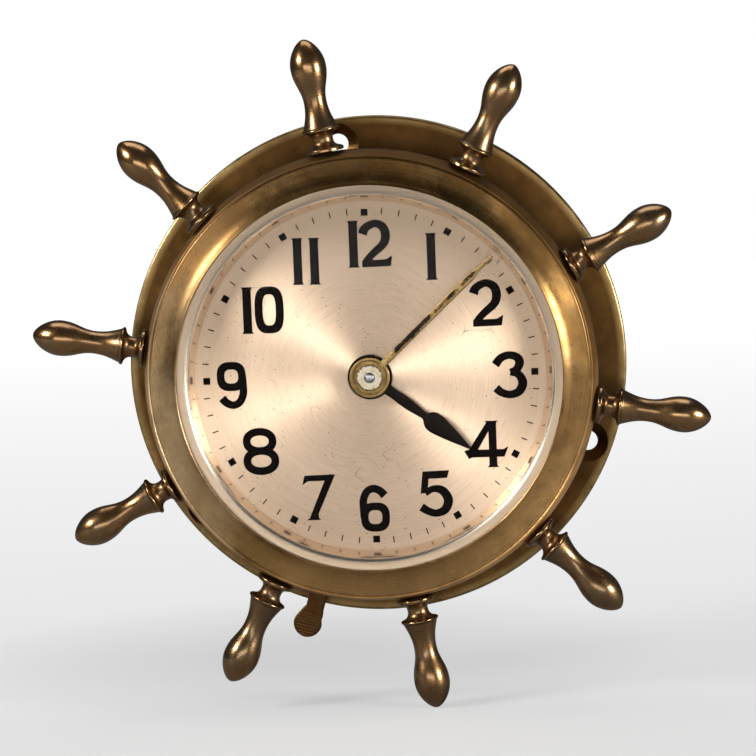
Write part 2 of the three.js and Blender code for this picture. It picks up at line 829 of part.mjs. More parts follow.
const middleOf = (back) => back + wheelThickness / 2;
const barrelLine = bearing(barrelAt, intermediateAt);
const intermediatePhase = bearing(intermediateAt, origin);
add(
  'intermediate_wheel',
  wheelOnArbor(
    {
      teeth: intermediateTeeth,
      module: intermediateModule,
      phase: intermediatePhase,
      back: intermediateBack,
    },
    {
      module: barrelModule,
      phase: meshPhase(barrelTeeth, barrelPhase, pinionLeaves, barrelLine),
      middle: greatWheelBack + wheelThickness,
    },
  ),
  brightBrass,
  { at: intermediateAt },
);

// Centre wheel: its arbor runs through the dial and carries the hands
const centrePhase = thirdTurn;
function centreWheel() {
  const line = bearing(intermediateAt, origin);
  const pinionPhase = meshPhase(intermediateTeeth, intermediatePhase, pinionLeaves, line);
  const pinionBack = middleOf(intermediateBack) - pinionThickness / 2;
  const staff = turned(
    [
      [0, backPlateBack],
      [pivotRadius, backPlateBack],
      [pivotRadius, backPlateFront + seat],
      [centreArborRadius, backPlateFront + seat],
      [centreArborRadius, arborTip],
      [0, arborTip],
    ],
    facetsSmall,
  );
  return join(
    staff,
    toothed(centreTeeth, centreModule, centrePhase, centreWheelBack, centreWheelBack + wheelThickness),
    toothed(pinionLeaves, intermediateModule, pinionPhase, pinionBack, pinionBack + pinionThickness),
  );
}
add('centre_wheel', centreWheel(), steel);

const thirdPhase = fourthTurn;
add(
  'third_wheel',
  wheelOnArbor(
    { teeth: thirdTeeth, module: thirdModule, phase: thirdPhase, back: thirdWheelBack },
    {
      module: centreModule,
      phase: meshPhase(centreTeeth, centrePhase, pinionLeaves, thirdTurn),
      middle: middleOf(centreWheelBack),
    },
  ),
  brightBrass,
  { at: thirdAt },
);

const fourthPhase = escapeTurn;
add(
  'fourth_wheel',
  wheelOnArbor(
    { teeth: fourthTeeth, module: fourthModule, phase: fourthPhase, back: fourthWheelBack },
    {
      module: thirdModule,
      phase: meshPhase(thirdTeeth, thirdPhase, pinionLeaves, fourthTurn),
      middle: middleOf(thirdWheelBack),
    },
  ),
  brightBrass,
  { at: fourthAt },
);

// Escape wheel: raked teeth, and a pinion driven by the fourth wheel
function escapeWheel() {
  const root = escapeRadius * 0.72;
  const rake = 0.35;
  const pitch = 360 / escapeTeeth;
  const points = Array.from({ length: escapeTeeth }, (_, i) => [
    polar(root, i * pitch),
    polar(escapeRadius, i * pitch - rake * pitch * 0.4),
    polar(root, i * pitch + rake * pitch),
  ]).flat();
  const shape = new THREE.Shape(points.map((p) => new THREE.Vector2(p.x, p.y)));
  const pinionBack = middleOf(fourthWheelBack) - pinionThickness / 2;
  const pinionPhase = meshPhase(fourthTeeth, fourthPhase, pinionLeaves, escapeTurn);
  return join(
    arbor(),
    plate(shape, escapeBack, escapeBack + wheelThickness),
    toothed(pinionLeaves, fourthModule, pinionPhase, pinionBack, pinionBack + pinionThickness),
  );
}
add('escape_wheel', escapeWheel(), steel, { at: escapeAt });

// Pallet lever: a cross-bar with two pallets beside the escape wheel and a fork to the balance
function palletLever() {
  const gap = palletDistance - escapeRadius - palletClearance;
  const forkEnd = balanceDistance - forkGap;
  const inner = palletSpan / 2 - palletWidth;
  const half = [
    [forkEnd, palletBar * 0.65],
    [palletBar, palletBar * 1.1],
    [palletBar, palletSpan / 2],
    [-gap, palletSpan / 2],
    [-gap, inner],
    [-palletBar, inner],
  ];
  const mirrored = half.map(([x, y]) => [x, -y]).reverse();
  const shape = new THREE.Shape([...half, ...mirrored].map(([x, y]) => new THREE.Vector2(x, y)));
  const lever = plate(shape, escapeBack, escapeBack + wheelThickness).rotateZ(degrees(palletTurn));
  return join(lever, arbor());
}
add('pallet_lever', palletLever(), steel, { at: palletAt });

// Balance: a rim on two arms, on its staff
function balance() {
  const outer = roundHole(balanceRadius, facetsLarge / 2);
  const shape = new THREE.Shape(outer.getPoints().reverse());
  shape.holes.push(roundHole(balanceRadius - balanceRim, facetsLarge / 2));
  const rim = plate(shape, balanceBack, balanceBack + 2 * wheelThickness);
  const arms = new THREE.BoxGeometry(2 * balanceRadius - balanceRim, balanceArm, wheelThickness);
  arms.translate(0, 0, balanceBack + wheelThickness);
  return join(rim, closed(arms), arbor());
}
add('balance_wheel', balance(), brightBrass, { at: balanceAt });

// Hairspring round the balance's staff, its outer end held by a pin in the front plate
add(
  'hairspring',
  spiralStrip(
    'hairspring',
    arborRadius + 2 * seat + hairspringStrip / 2,
    hairspringRadius,
    hairspringTurns,
    hairspringStrip,
    hairspringBack,
    hairspringBack + hairspringHeight,
  ),
  steel,
  { at: balanceAt },
);
const studPinOut = hairspringRadius + hairspringStrip / 2 + seat + studPinRadius;
add(
  'hairspring_pin',
  rod(studPinRadius, hairspringBack, frontPlateBack - seat, facetsPivot),
  brightBrass,
  { at: polar(studPinOut, 0, balanceAt) },
);

// Motion work: cannon pinion, minute wheel and hour wheel turn the hour hand once in twelve hours
const cannonPhase = motionTurn;
function cannonPinion() {
  const leavesFront = motionBack + wheelThickness + seat;
  const leaves = toothed(cannonTeeth, minuteModule, cannonPhase, motionBack, leavesFront);
  const pipe = rod(cannonPipeRadius, motionBack, cannonTop, facetsSmall);
  const bore = rod(centreArborRadius + seat, motionBack - 1, cannonTop + 1, facetsSmall);
  return cut(join(leaves, pipe), bore);
}
add('cannon_pinion', cannonPinion(), steel);

const minutePinionPhase = motionTurn + 180;
function minuteWheel() {
  const phase = meshPhase(cannonTeeth, cannonPhase, minuteWheelTeeth, motionTurn);
  const staffFront = hourWheelBack + wheelThickness + seat;
  const staff = rod(arborRadius, motionBack - seat, staffFront, facetsPivot);
  const pivot = rod(pivotRadius, frontPlateBack, motionBack, facetsPivot);
  return join(
    toothed(minuteWheelTeeth, minuteModule, phase, motionBack, motionBack + wheelThickness),
    toothed(minutePinionTeeth, hourModule, minutePinionPhase, motionBack, staffFront),
    staff,
    pivot,
  );
}
add('minute_wheel', minuteWheel(), brightBrass, { at: minuteWheelAt });

function hourWheel() {
  const phase = meshPhase(minutePinionTeeth, minutePinionPhase, hourWheelTeeth, motionTurn + 180);
  const teeth = toothed(hourWheelTeeth, hourModule, phase, hourWheelBack, hourWheelBack + wheelThickness);
  const pipe = rod(hourPipeRadius, hourWheelBack, hourPipeTop, facetsSmall);
  const bore = rod(cannonPipeRadius + seat, hourWheelBack - 1, hourPipeTop + 1, facetsSmall);
  return cut(join(teeth, pipe), bore);
}
add('hour_wheel', hourWheel(), brightBrass);

// A hand: a half outline of points along the hand, mirrored, joined to a round hub with its hole
function hand(halfOutline, hubRadius, holeRadius, back, turn) {
  const top = halfOutline.map(([x, y]) => new THREE.Vector2(x, y));
  const bottom = halfOutline.map(([x, y]) => new THREE.Vector2(x, -y)).reverse();
  const blade = plate(new THREE.Shape([...top, ...bottom].reverse()), back, back + handThickness);
  const hub = rod(hubRadius, back, back + handThickness, facetsHole);
  const hole = rod(holeRadius, back - 1, back + handThickness + 1, facetsSmall);
  return cut(join(hub, blade), hole).rotateZ(degrees(turn));
}

// The leaf of the hour hand swells from its neck on a quarter ellipse, then runs straight to a point
function hourHandOutline() {
  const leaf = Array.from({ length: 4 }, (_, i) => {
    const along = (i + 1) / 4;
    const swell = Math.sqrt(1 - (1 - along) ** 2);
    return [
      hourLeafStart + (hourLeafWidest - hourLeafStart) * along,
      hourNeckWidth / 2 + ((hourLeafWidth - hourNeckWidth) / 2) * swell,
    ];
  });
  const neckMiddle = (hourHubRadius + hourLeafStart) / 2;
  return [
    [hourHubRadius - 1, hourNeckWidth * 0.5],
    [neckMiddle, hourNeckWidth * 0.75],
    [hourLeafStart, hourNeckWidth * 0.45],
    ...leaf,
    [hourHandLength, 0.15],
  ];
}
add(
  'hour_hand',
  hand(hourHandOutline(), hourHubRadius, hourPipeRadius + seat, hourHandBack, hourHandTurn),
  blackPaint,
);
const minuteHandOutline = [
  [minuteHubRadius - 1, minuteRootWidth / 2],
  [minuteBladeWidest, minuteBladeWidth / 2],
  [minuteStep, minuteStepWidth / 2],
  [minuteHandLength, minuteTipWidth / 2],
];
add(
  'minute_hand',
  hand(minuteHandOutline, minuteHubRadius, cannonPipeRadius + seat, minuteHandBack, minuteHandTurn),
  brightBrass,
);

add(
  'hand_collet',
  turnedRing(
    [
      [centreArborRadius + seat, colletBack],
      [colletRadius, colletBack],
      [colletRadius - 0.2, colletBack + colletThickness],
      [centreArborRadius + seat, colletBack + colletThickness],
    ],
    facetsHole,
  ),
  silvered,
);

// Setting lever: swings on a pin in the back plate, out through the drum, in front of the flange
function settingLever() {
  const reach = leverReach - leverPivotCircle;
  const paddleMiddle = reach - leverPaddleRadius;
  const side = leverStemWidth / 2;
  const shape = new THREE.Shape();
  shape.moveTo(-side - leverStemOffset, 0);
  shape.absarc(0, 0, leverBossRadius, degrees(200), degrees(340), false);
  shape.lineTo(side - leverStemOffset, leverBossRadius);
  shape.lineTo(side - leverStemOffset, paddleMiddle - leverPaddleRadius * 2);
  shape.quadraticCurveTo(
    side - leverStemOffset,
    paddleMiddle - leverPaddleRadius * 0.9,
    leverPaddleRadius * Math.cos(degrees(-20)),
    paddleMiddle + leverPaddleRadius * Math.sin(degrees(-20)),
  );
  shape.absarc(0, paddleMiddle, leverPaddleRadius, degrees(-20), degrees(190), false);
  shape.lineTo(-side - leverStemOffset, paddleMiddle - leverPaddleRadius);
  shape.closePath();
  shape.holes.push(roundHole(leverPinRadius + seat, facetsSmall));
  return plate(shape, leverBack, leverBack + leverThickness, 8);
}
const leverArm = new THREE.Group();
leverArm.rotation.z = degrees(leverTurn - 90);
clock.add(leverArm);
const leverMesh = add('setting_lever', settingLever(), agedBrass, { parent: leverArm });
leverMesh.position.set(0, leverPivotCircle, 0);

add(
  'lever_pin',
  turned(
    [
      [0, backPlateFront + seat],
      [leverPinRadius, backPlateFront + seat],
      [leverPinRadius, leverPinHeadBack],
      [leverPinHead, leverPinHeadBack],
      [leverPinHead, leverPinHeadBack + leverPinHeadHeight],
      [0, leverPinHeadBack + leverPinHeadHeight],
    ],
    facetsSmall,
  ),
  steel,
  { at: leverPivotAt },
);

export default clock;
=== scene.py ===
import bpy
import numpy as np
from mathutils import Matrix, Vector


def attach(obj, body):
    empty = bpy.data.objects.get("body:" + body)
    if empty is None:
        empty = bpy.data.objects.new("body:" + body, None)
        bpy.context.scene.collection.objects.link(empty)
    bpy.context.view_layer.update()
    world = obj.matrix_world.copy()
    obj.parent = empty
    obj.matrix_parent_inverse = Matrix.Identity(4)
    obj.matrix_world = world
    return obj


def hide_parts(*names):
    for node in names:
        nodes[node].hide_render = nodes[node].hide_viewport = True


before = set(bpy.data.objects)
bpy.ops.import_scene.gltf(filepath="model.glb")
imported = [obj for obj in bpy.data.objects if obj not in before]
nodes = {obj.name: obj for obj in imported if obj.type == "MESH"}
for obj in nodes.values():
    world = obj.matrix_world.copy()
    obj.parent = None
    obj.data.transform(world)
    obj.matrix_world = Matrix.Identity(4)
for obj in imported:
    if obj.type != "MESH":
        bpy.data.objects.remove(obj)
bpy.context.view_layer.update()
mm = 0.001
roundSteps = 7  # points on each rounded corner of an outline
print("frame loaded:", len(nodes), "solids")


# A dictionary whose values can also be read as attributes
class Sizes(dict):
    __getattr__ = dict.__getitem__


# A point given by x to 3 o'clock, y to 12 o'clock and height above the wall (the dial faces -Y)
def onDial(x, y, height):
    x, y, height = np.broadcast_arrays(x, y, height)
    return mm * np.stack([x, -height, y], axis=-1)


# A point at a radius and angle round the clock's axis
def onClock(radius, angle, height):
    return onDial(radius * np.cos(angle), radius * np.sin(angle), height)


# A point so far out along a ray from the axis, and so far to the ray's left
def onRay(turn, outward, side, height):
    x = outward * np.cos(turn) - side * np.sin(turn)
    y = outward * np.sin(turn) + side * np.cos(turn)
    return onDial(x, y, height)


def fullCircle(count):
    return np.linspace(0, 2 * np.pi, count, endpoint=False)


# An oval with fuller shoulders than an ellipse: cosine and sine to a power below one, with their signs kept
def oval(angle, power):
    across, upward = np.cos(angle), np.sin(angle)
    return np.sign(across) * np.abs(across) ** power, np.sign(upward) * np.abs(upward) ** power


# Quads between neighbouring rows and columns of a grid, which may close on itself either way
def gridFaces(rows, columns, wrapRows=False, wrapColumns=True):
    row = np.arange(rows if wrapRows else rows - 1)
    column = np.arange(columns if wrapColumns else columns - 1)
    row, column = np.meshgrid(row, column, indexing="ij")
    nextRow, nextColumn = (row + 1) % rows, (column + 1) % columns
    quads = [row * columns + column, nextRow * columns + column,
             nextRow * columns + nextColumn, row * columns + nextColumn]
    return np.stack(quads, axis=-1).reshape(-1, 4)


# Triangles from one loop of a grid to a single point
def fanFaces(loopStart, columns, tip):
    here = np.arange(columns)
    return np.stack([loopStart + here, loopStart + (here + 1) % columns, np.full(columns, tip)], axis=-1)


# The faces, turned over if the volume that they enclose is negative, which means that they face inwards
def facingOut(corners, faces):
    corners = corners - corners.mean(0)
    volume = 0.0
    for block in faces:
        for second in range(1, block.shape[1] - 1):
            a, b, c = (corners[block[:, i]] for i in (0, second, second + 1))
            volume += np.einsum("ij,ij->", a, np.cross(b, c))
    return [block[:, ::-1] for block in faces] if volume < 0 else faces


def makePiece(name, corners, faces, masks=None, sharpAngle=None):
    faces = facingOut(corners, faces)
    mesh = bpy.data.meshes.new(name)
    mesh.from_pydata(corners.tolist(), [], [face for block in faces for face in block.tolist()])
    mesh.polygons.foreach_set("use_smooth", np.ones(len(mesh.polygons), bool))
    for label, values in (masks or {}).items():
        values = np.asarray(values, np.float32)
        kind, key = ("FLOAT_VECTOR", "vector") if values.ndim == 2 else ("FLOAT", "value")
        mesh.attributes.new(label, kind, "POINT").data.foreach_set(key, values.ravel())
    if sharpAngle:
        mesh.set_sharp_from_angle(angle=np.radians(sharpAngle))
    mesh.update()
    piece = bpy.data.objects.new(name, mesh)
    bpy.context.scene.collection.objects.link(piece)
    return piece


# Several sets of corners and faces as one
def joined(shapes):
    starts = np.cumsum([0] + [len(corners) for corners, _ in shapes])
    faces = [block + start for (_, blocks), start in zip(shapes, starts) for block in blocks]
    return np.concatenate([corners for corners, _ in shapes]), faces


# Points on a cubic curve with two end points and two pulls, at even steps of its parameter
def bezier(start, pull, push, end, count):
    t = np.linspace(0, 1, count)[:, None]
    start, pull, push, end = (np.array(p, float) for p in (start, pull, push, end))
    return start * (1 - t) ** 3 + 3 * pull * t * (1 - t) ** 2 + 3 * push * t ** 2 * (1 - t) + end * t ** 3


# An outline of corners (radius, height): each corner becomes a short curve that starts and ends its round's
# length away on its two sides, with the corner as the curve's pull
def roundedOutline(corners, rounds):
    point, size = np.array(corners, float), np.array(rounds, float)[:, None]
    back, ahead = np.roll(point, 1, 0) - point, np.roll(point, -1, 0) - point
    start = point + back / np.linalg.norm(back, axis=1, keepdims=True) * size
    end = point + ahead / np.linalg.norm(ahead, axis=1, keepdims=True) * size
    t = np.linspace(0, 1, roundSteps)[None, :, None]
    curve = start[:, None] * (1 - t) ** 2 + 2 * t * (1 - t) * point[:, None] + t ** 2 * end[:, None]
    return curve.reshape(-1, 2)


# Even stations along an outline, kept together with its own points, and how it bends at each station:
# outward bends are rubbed bright, inward bends hold dirt, both spread along the outline as a bell curve
def stations(outline, step, closed, spread, sameSpot=1e-5, tooNear=0.3, fullBend=1.2):
    path = np.concatenate([outline, outline[:1]]) if closed else outline
    keep = np.concatenate([[True], np.linalg.norm(np.diff(path, axis=0), axis=1) > sameSpot])
    path = path[keep]
    along = np.concatenate([[0], np.cumsum(np.linalg.norm(np.diff(path, axis=0), axis=1))])
    even = np.linspace(0, along[-1], max(int(along[-1] / step), 4))
    gap = np.abs(even[:, None] - along[None]).min(1)
    station = np.sort(np.concatenate([along, even[gap > step * tooNear]]))
    points = np.stack([np.interp(station, along, path[:, i]) for i in (0, 1)], axis=1)
    if closed:
        station, points = station[:-1], points[:-1]
    ahead, back = np.roll(points, -1, 0) - points, points - np.roll(points, 1, 0)
    turn = np.arctan2(back[:, 0] * ahead[:, 1] - back[:, 1] * ahead[:, 0], (back * ahead).sum(1))
    if not closed:
        turn[[0, -1]] = 0
    area = (points[:, 0] * np.roll(points[:, 1], -1) - np.roll(points[:, 0], -1) * points[:, 1]).sum()
    turn = turn * np.sign(area)
    apart = np.abs(station[:, None] - station[None])
    if closed:
        apart = np.minimum(apart, along[-1] - apart)
    bell = np.exp(-(apart / spread) ** 2)
    wear, grime = (np.clip(bell @ np.clip(way * turn, 0, None) / fullBend, 0, 1) for way in (1, -1))
    return points, station, wear, grime


# A turned piece: every point of the outline carried round a circle. place gives the points from radius,
# angle and height. An outline with ends is open, and a single point at each of these heights closes it.
def turnedPiece(name, outline, place, columns, step, spread=0.6, ends=None, sharpAngle=None, stain=None):
    closed = ends is None
    points, station, wear, grime = stations(np.asarray(outline, float), step, closed, spread)
    angle = fullCircle(columns)
    corners = place(points[:, :1], angle[None], points[:, 1:]).reshape(-1, 3)
    faces = [gridFaces(len(points), columns, wrapRows=closed)]
    around = np.tile(np.stack([np.cos(angle), np.sin(angle)], axis=1), (len(points), 1))
    onward = np.roll(points, -1, 0) if closed else np.append(points[1:], points[-1:] * 2 - points[-2:-1], 0)
    masks = {
        "wear": np.repeat(wear, columns),
        "grime": np.repeat(grime, columns),
        "lathe": np.column_stack([around, np.repeat(station * mm, columns)]),
        "across": (place(onward[:, :1], angle[None], onward[:, 1:]).reshape(-1, 3) - corners) / mm,
    }
    if stain:
        masks["stain"] = np.repeat(stain(points), columns)
    for last, height in enumerate(ends or ()):
        first = (len(points) - 1) * columns * last
        fan = fanFaces(first, columns, len(corners))
        faces.append(fan if last else fan[:, ::-1])
        corners = np.append(corners, place(0.0, 0.0, height).reshape(1, 3), axis=0)
        masks = {label: np.append(values, values[first:first + 1], axis=0) for label, values in masks.items()}
        masks["lathe"][-1, :2] = 0
    return makePiece(name, corners, faces, masks, sharpAngle)


# Takes the cutters' solids out of a piece and keeps the result as its own mesh
def carve(piece, cutters, sharpAngle=30):
    for cutter in cutters:
        modifier = piece.modifiers.new("cut", "BOOLEAN")
        modifier.object = cutter
        modifier.operation = "DIFFERENCE"
        modifier.solver = "EXACT"
    bpy.context.view_layer.update()
    carved = bpy.data.meshes.new_from_object(piece.evaluated_get(bpy.context.evaluated_depsgraph_get()))
    piece.modifiers.clear()
    piece.data = carved
    carved.set_sharp_from_angle(angle=np.radians(sharpAngle))
    for cutter in cutters:
        bpy.data.objects.remove(cutter)


# Makes the nodes of one tree. Inputs are values or sockets, by socket name or number.
class Net:
    def __init__(self, tree):
        self.tree = tree

    def feed(self, node, inputs):
        for key, value in inputs.items():
            socket = node.inputs[key]
            if isinstance(value, bpy.types.NodeSocket):
                self.tree.links.new(value, socket)
            else:
                socket.default_value = (*value, 1)[:4] if socket.type == "RGBA" else value

    def add(self, kind, inputs=None, **settings):
        made = self.tree.nodes.new("ShaderNode" + kind)
        for key, value in settings.items():
            setattr(made, key, value)
        self.feed(made, inputs or {})
        return made

    def group(self, tree, inputs=None):
        return self.add("Group", inputs, node_tree=tree).outputs

    def place(self):
        return self.add("TexCoord").outputs["Object"]

    def mask(self, label, output="Fac"):
        return self.add("Attribute", attribute_name=label).outputs[output]

    def split(self, vector):
        return self.add("SeparateXYZ", {0: vector}).outputs

    def join(self, inputs):
        return self.add("CombineXYZ", inputs).outputs[0]

    def maths(self, operation, first, second=0.0, clamp=False):
        return self.add("Math", {0: first, 1: second}, operation=operation, use_clamp=clamp).outputs[0]

    def times(self, first, second, clamp=False):
        return self.maths("MULTIPLY", first, second, clamp)

    def plus(self, first, second, clamp=False):
        return self.maths("ADD", first, second, clamp)

    def minus(self, first, second):
        return self.maths("SUBTRACT", first, second)

    def larger(self, first, second):
        return self.maths("MAXIMUM", first, second)

    def ramp(self, value, low, high, toLow=0.0, toHigh=1.0):
        inputs = {"Value": value, "From Min": low, "From Max": high, "To Min": toLow, "To Max": toHigh}
        return self.add("MapRange", inputs).outputs["Result"]

    def mix(self, share, first, second):
        return self.add("Mix", {0: share, 6: first, 7: second}, data_type="RGBA").outputs[2]

    def noise(self, vector, scale, detail=4.0, roughness=0.55, distortion=0.0):
        inputs = {"Vector": vector, "Scale": scale, "Detail": detail, "Roughness": roughness,
                  "Distortion": distortion}
        return self.add("TexNoise", inputs).outputs["Fac"]

    # Round spots at the middles of scattered cells, full inside the near distance and gone at the far one
    def spots(self, vector, scale, far, near):
        cells = self.add("TexVoronoi", {"Vector": vector, "Scale": scale})
        return self.ramp(cells.outputs["Distance"], far, near)

    def bump(self, height, strength, distance):
        inputs = {"Height": height, "Strength": strength, "Distance": distance}
        return self.add("Bump", inputs).outputs["Normal"]

    # The direction across the grooves, in which a brushed surface spreads its light
    def grooves(self, across):
        turned = self.add("VectorTransform", {0: across}, vector_type="VECTOR", convert_from="OBJECT",
                          convert_to="WORLD").outputs[0]
        return self.add("VectorMath", {0: turned}, operation="NORMALIZE").outputs[0]


# The nodes of a new material, with its surface shader
class Surface(Net):
    def __init__(self, name):
        self.material = bpy.data.materials.new(name)
        self.material.use_nodes = True
        super().__init__(self.material.node_tree)
        self.tree.nodes.clear()
        self.shader = self.add("BsdfPrincipled")
        self.output = self.add("OutputMaterial", {"Surface": self.shader.outputs["BSDF"]})

    def shade(self, inputs):
        self.feed(self.shader, inputs)
        return self.material

    # Lets light straight through where the share is 1
    def clearWhere(self, share, tint=(1, 1, 1)):
        clear = self.add("BsdfTransparent", {"Color": tint})
        both = self.add("MixShader", {0: share, 1: self.shader.outputs["BSDF"], 2: clear.outputs[0]})
        self.feed(self.output, {"Surface": both.outputs[0]})


brassTones = ["Bright", "Brown", "Dirt", "Rubbed", "Film"]
colourLabels = [*brassTones, "Color"]


def newGroup(name, inputs, outputs):
    group = bpy.data.node_groups.new(name, "ShaderNodeTree")
    for way, labels in (("INPUT", inputs), ("OUTPUT", outputs)):
        for label in labels:
            kind = "NodeSocketColor" if label in colourLabels else "NodeSocketFloat"
            group.interface.new_socket(label, in_out=way, socket_type=kind)
    return Net(group), group.nodes.new("NodeGroupInput").outputs, group.nodes.new("NodeGroupOutput")


# Old brass: clouds of brown tarnish, patches of grey film, fine mottling, pits, dirty hollows, rubbed edges
def makeOldBrassGroup():
    labels = [*brassTones, "Cloud Scale", "Tarnish", "Wear", "Grime", "Pits"]
    net, given, result = newGroup("oldBrass", labels, ["Color", "Roughness", "Height"])
    place, scale = net.place(), given["Cloud Scale"]
    clouds = net.noise(place, scale, 5.0, 0.6, 0.3)
    mottle = net.noise(place, net.times(scale, 9.0), 7.0, 0.65)
    tarnish = net.ramp(net.plus(net.times(clouds, 0.65), net.times(mottle, 0.35)), 0.36, 0.62)
    colour = net.mix(net.times(tarnish, given["Tarnish"], True), given["Bright"], given["Brown"])
    film = net.noise(place, net.times(scale, 2.7), 5.0, 0.6, 0.4)
    colour = net.mix(net.ramp(film, 0.45, 0.62, 0.0, 0.6), colour, given["Film"])
    rubbed = net.times(given["Wear"], net.ramp(mottle, 0.3, 0.6, 0.35, 1.0), True)
    colour = net.mix(net.times(rubbed, 0.85), colour, given["Rubbed"])
    sparse = net.ramp(net.noise(place, 260.0, 3.0), 0.56, 0.66)
    pits = net.times(net.times(net.spots(place, 900.0, 0.16, 0.04), sparse), given["Pits"], True)
    hollows = net.times(given["Grime"], net.ramp(mottle, 0.25, 0.6, 0.55, 1.0), True)
    dirt = net.larger(pits, hollows)
    rough = net.plus(net.ramp(tarnish, 0.0, 1.0, 0.0, 0.16), net.times(dirt, 0.25))
    net.feed(result, {
        "Color": net.mix(dirt, colour, given["Dirt"]),
        "Roughness": net.minus(rough, net.times(rubbed, 0.1)),
        "Height": net.minus(net.times(mottle, 0.4), pits),
    })
    return net.tree


# Fine lines that a lathe tool leaves: noise that changes fast along the outline and slowly round it
def makeTurnedLinesGroup():
    net, given, result = newGroup("turnedLines", ["Along Scale", "Around Scale"], ["Lines"])
    where, around = net.split(net.mask("lathe", "Vector")), given["Around Scale"]
    spot = net.join({"X": net.times(where["X"], around), "Y": net.times(where["Y"], around),
                     "Z": net.times(where["Z"], given["Along Scale"])})
    net.feed(result, {"Lines": net.noise(spot, 1.0, 3.0, 0.6)})
    return net.tree


# Rings brushed round the clock's axis, from the distance to that axis, with slow changes round it
def makeBrushedRingsGroup():
    net, given, result = newGroup("brushedRings", ["Ring Scale", "Arc Scale"], ["Lines", "Radius"])
    where, arc = net.split(net.place()), given["Arc Scale"]
    across, upward = where["X"], where["Z"]
    radius = net.maths("SQRT", net.plus(net.times(across, across), net.times(upward, upward)))
    steady = net.larger(radius, 0.0001)
    spot = net.join({"X": net.times(net.maths("DIVIDE", across, steady), arc),
                     "Y": net.times(net.maths("DIVIDE", upward, steady), arc),
                     "Z": net.times(radius, given["Ring Scale"])})
    net.feed(result, {"Lines": net.noise(spot, 1.0, 4.0, 0.65), "Radius": radius})
    return net.tree


oldBrassGroup = makeOldBrassGroup()
turnedLinesGroup = makeTurnedLinesGroup()
brushedRingsGroup = makeBrushedRingsGroup()


# Old brass in one of the clock's finishes
def brassMaterial(name, look):
    net = Surface(name)
    brass = net.group(oldBrassGroup, {
        **{label: look[label.lower()] for label in (*brassTones, "Tarnish", "Pits")},
        "Cloud Scale": look.clouds,
        "Wear": net.mask("wear"),
        "Grime": net.times(net.mask("grime"), look.grime),
    })
    lines = net.group(turnedLinesGroup, {"Along Scale": look.lines, "Around Scale": 2.0})["Lines"]
    lineTone = net.mix(net.ramp(lines, 0.35, 0.65), look.dirt, look.bright)
    colour = net.mix(look.lineShade, brass["Color"], lineTone)
    rough = net.plus(brass["Roughness"], look.roughness)
    rough = net.plus(rough, net.ramp(lines, 0.3, 0.7, -0.05, 0.05), True)
    metallic = 1.0
    if "stain" in look:  # dull brown skin where the piece says so
        skin = net.mask("stain")
        colour = net.mix(net.times(skin, 0.85), colour, look.stain)
        rough = net.plus(rough, net.times(skin, 0.15), True)
        metallic = net.ramp(skin, 0.0, 1.0, 1.0, 0.75)
        net.shade({"Specular IOR Level": 0.1})
    # patina and painted light and shade: tones that brighten or darken one side of the clock
    for tone, turn, near, far, amount in look.patina:
        place, turn = net.place(), np.radians(turn)
        level = net.add("VectorMath", {0: place, 1: (np.cos(turn), 0, np.sin(turn))}, operation="DOT_PRODUCT")
        patchy = net.plus(level.outputs["Value"], net.ramp(net.noise(place, 70.0), 0.3, 0.7, -0.012, 0.012))
        colour = net.mix(net.ramp(patchy, near, far, 0.0, amount), colour, tone)
    if "anisotropy" in look:
        across = net.grooves(net.mask("across", "Vector"))
        net.shade({"Tangent": across, "Anisotropic": look.anisotropy})
    if "lacquer" in look:  # thin old lacquer, which gives small white glints
        net.shade({"Coat Weight": look.lacquer, "Coat Roughness": 0.1})
    height = net.plus(brass["Height"], net.times(lines, look.lineDepth))
    return net.shade({"Base Color": colour, "Roughness": rough, "Metallic": metallic,
                      "Normal": net.bump(height, look.bump, 0.00012)})
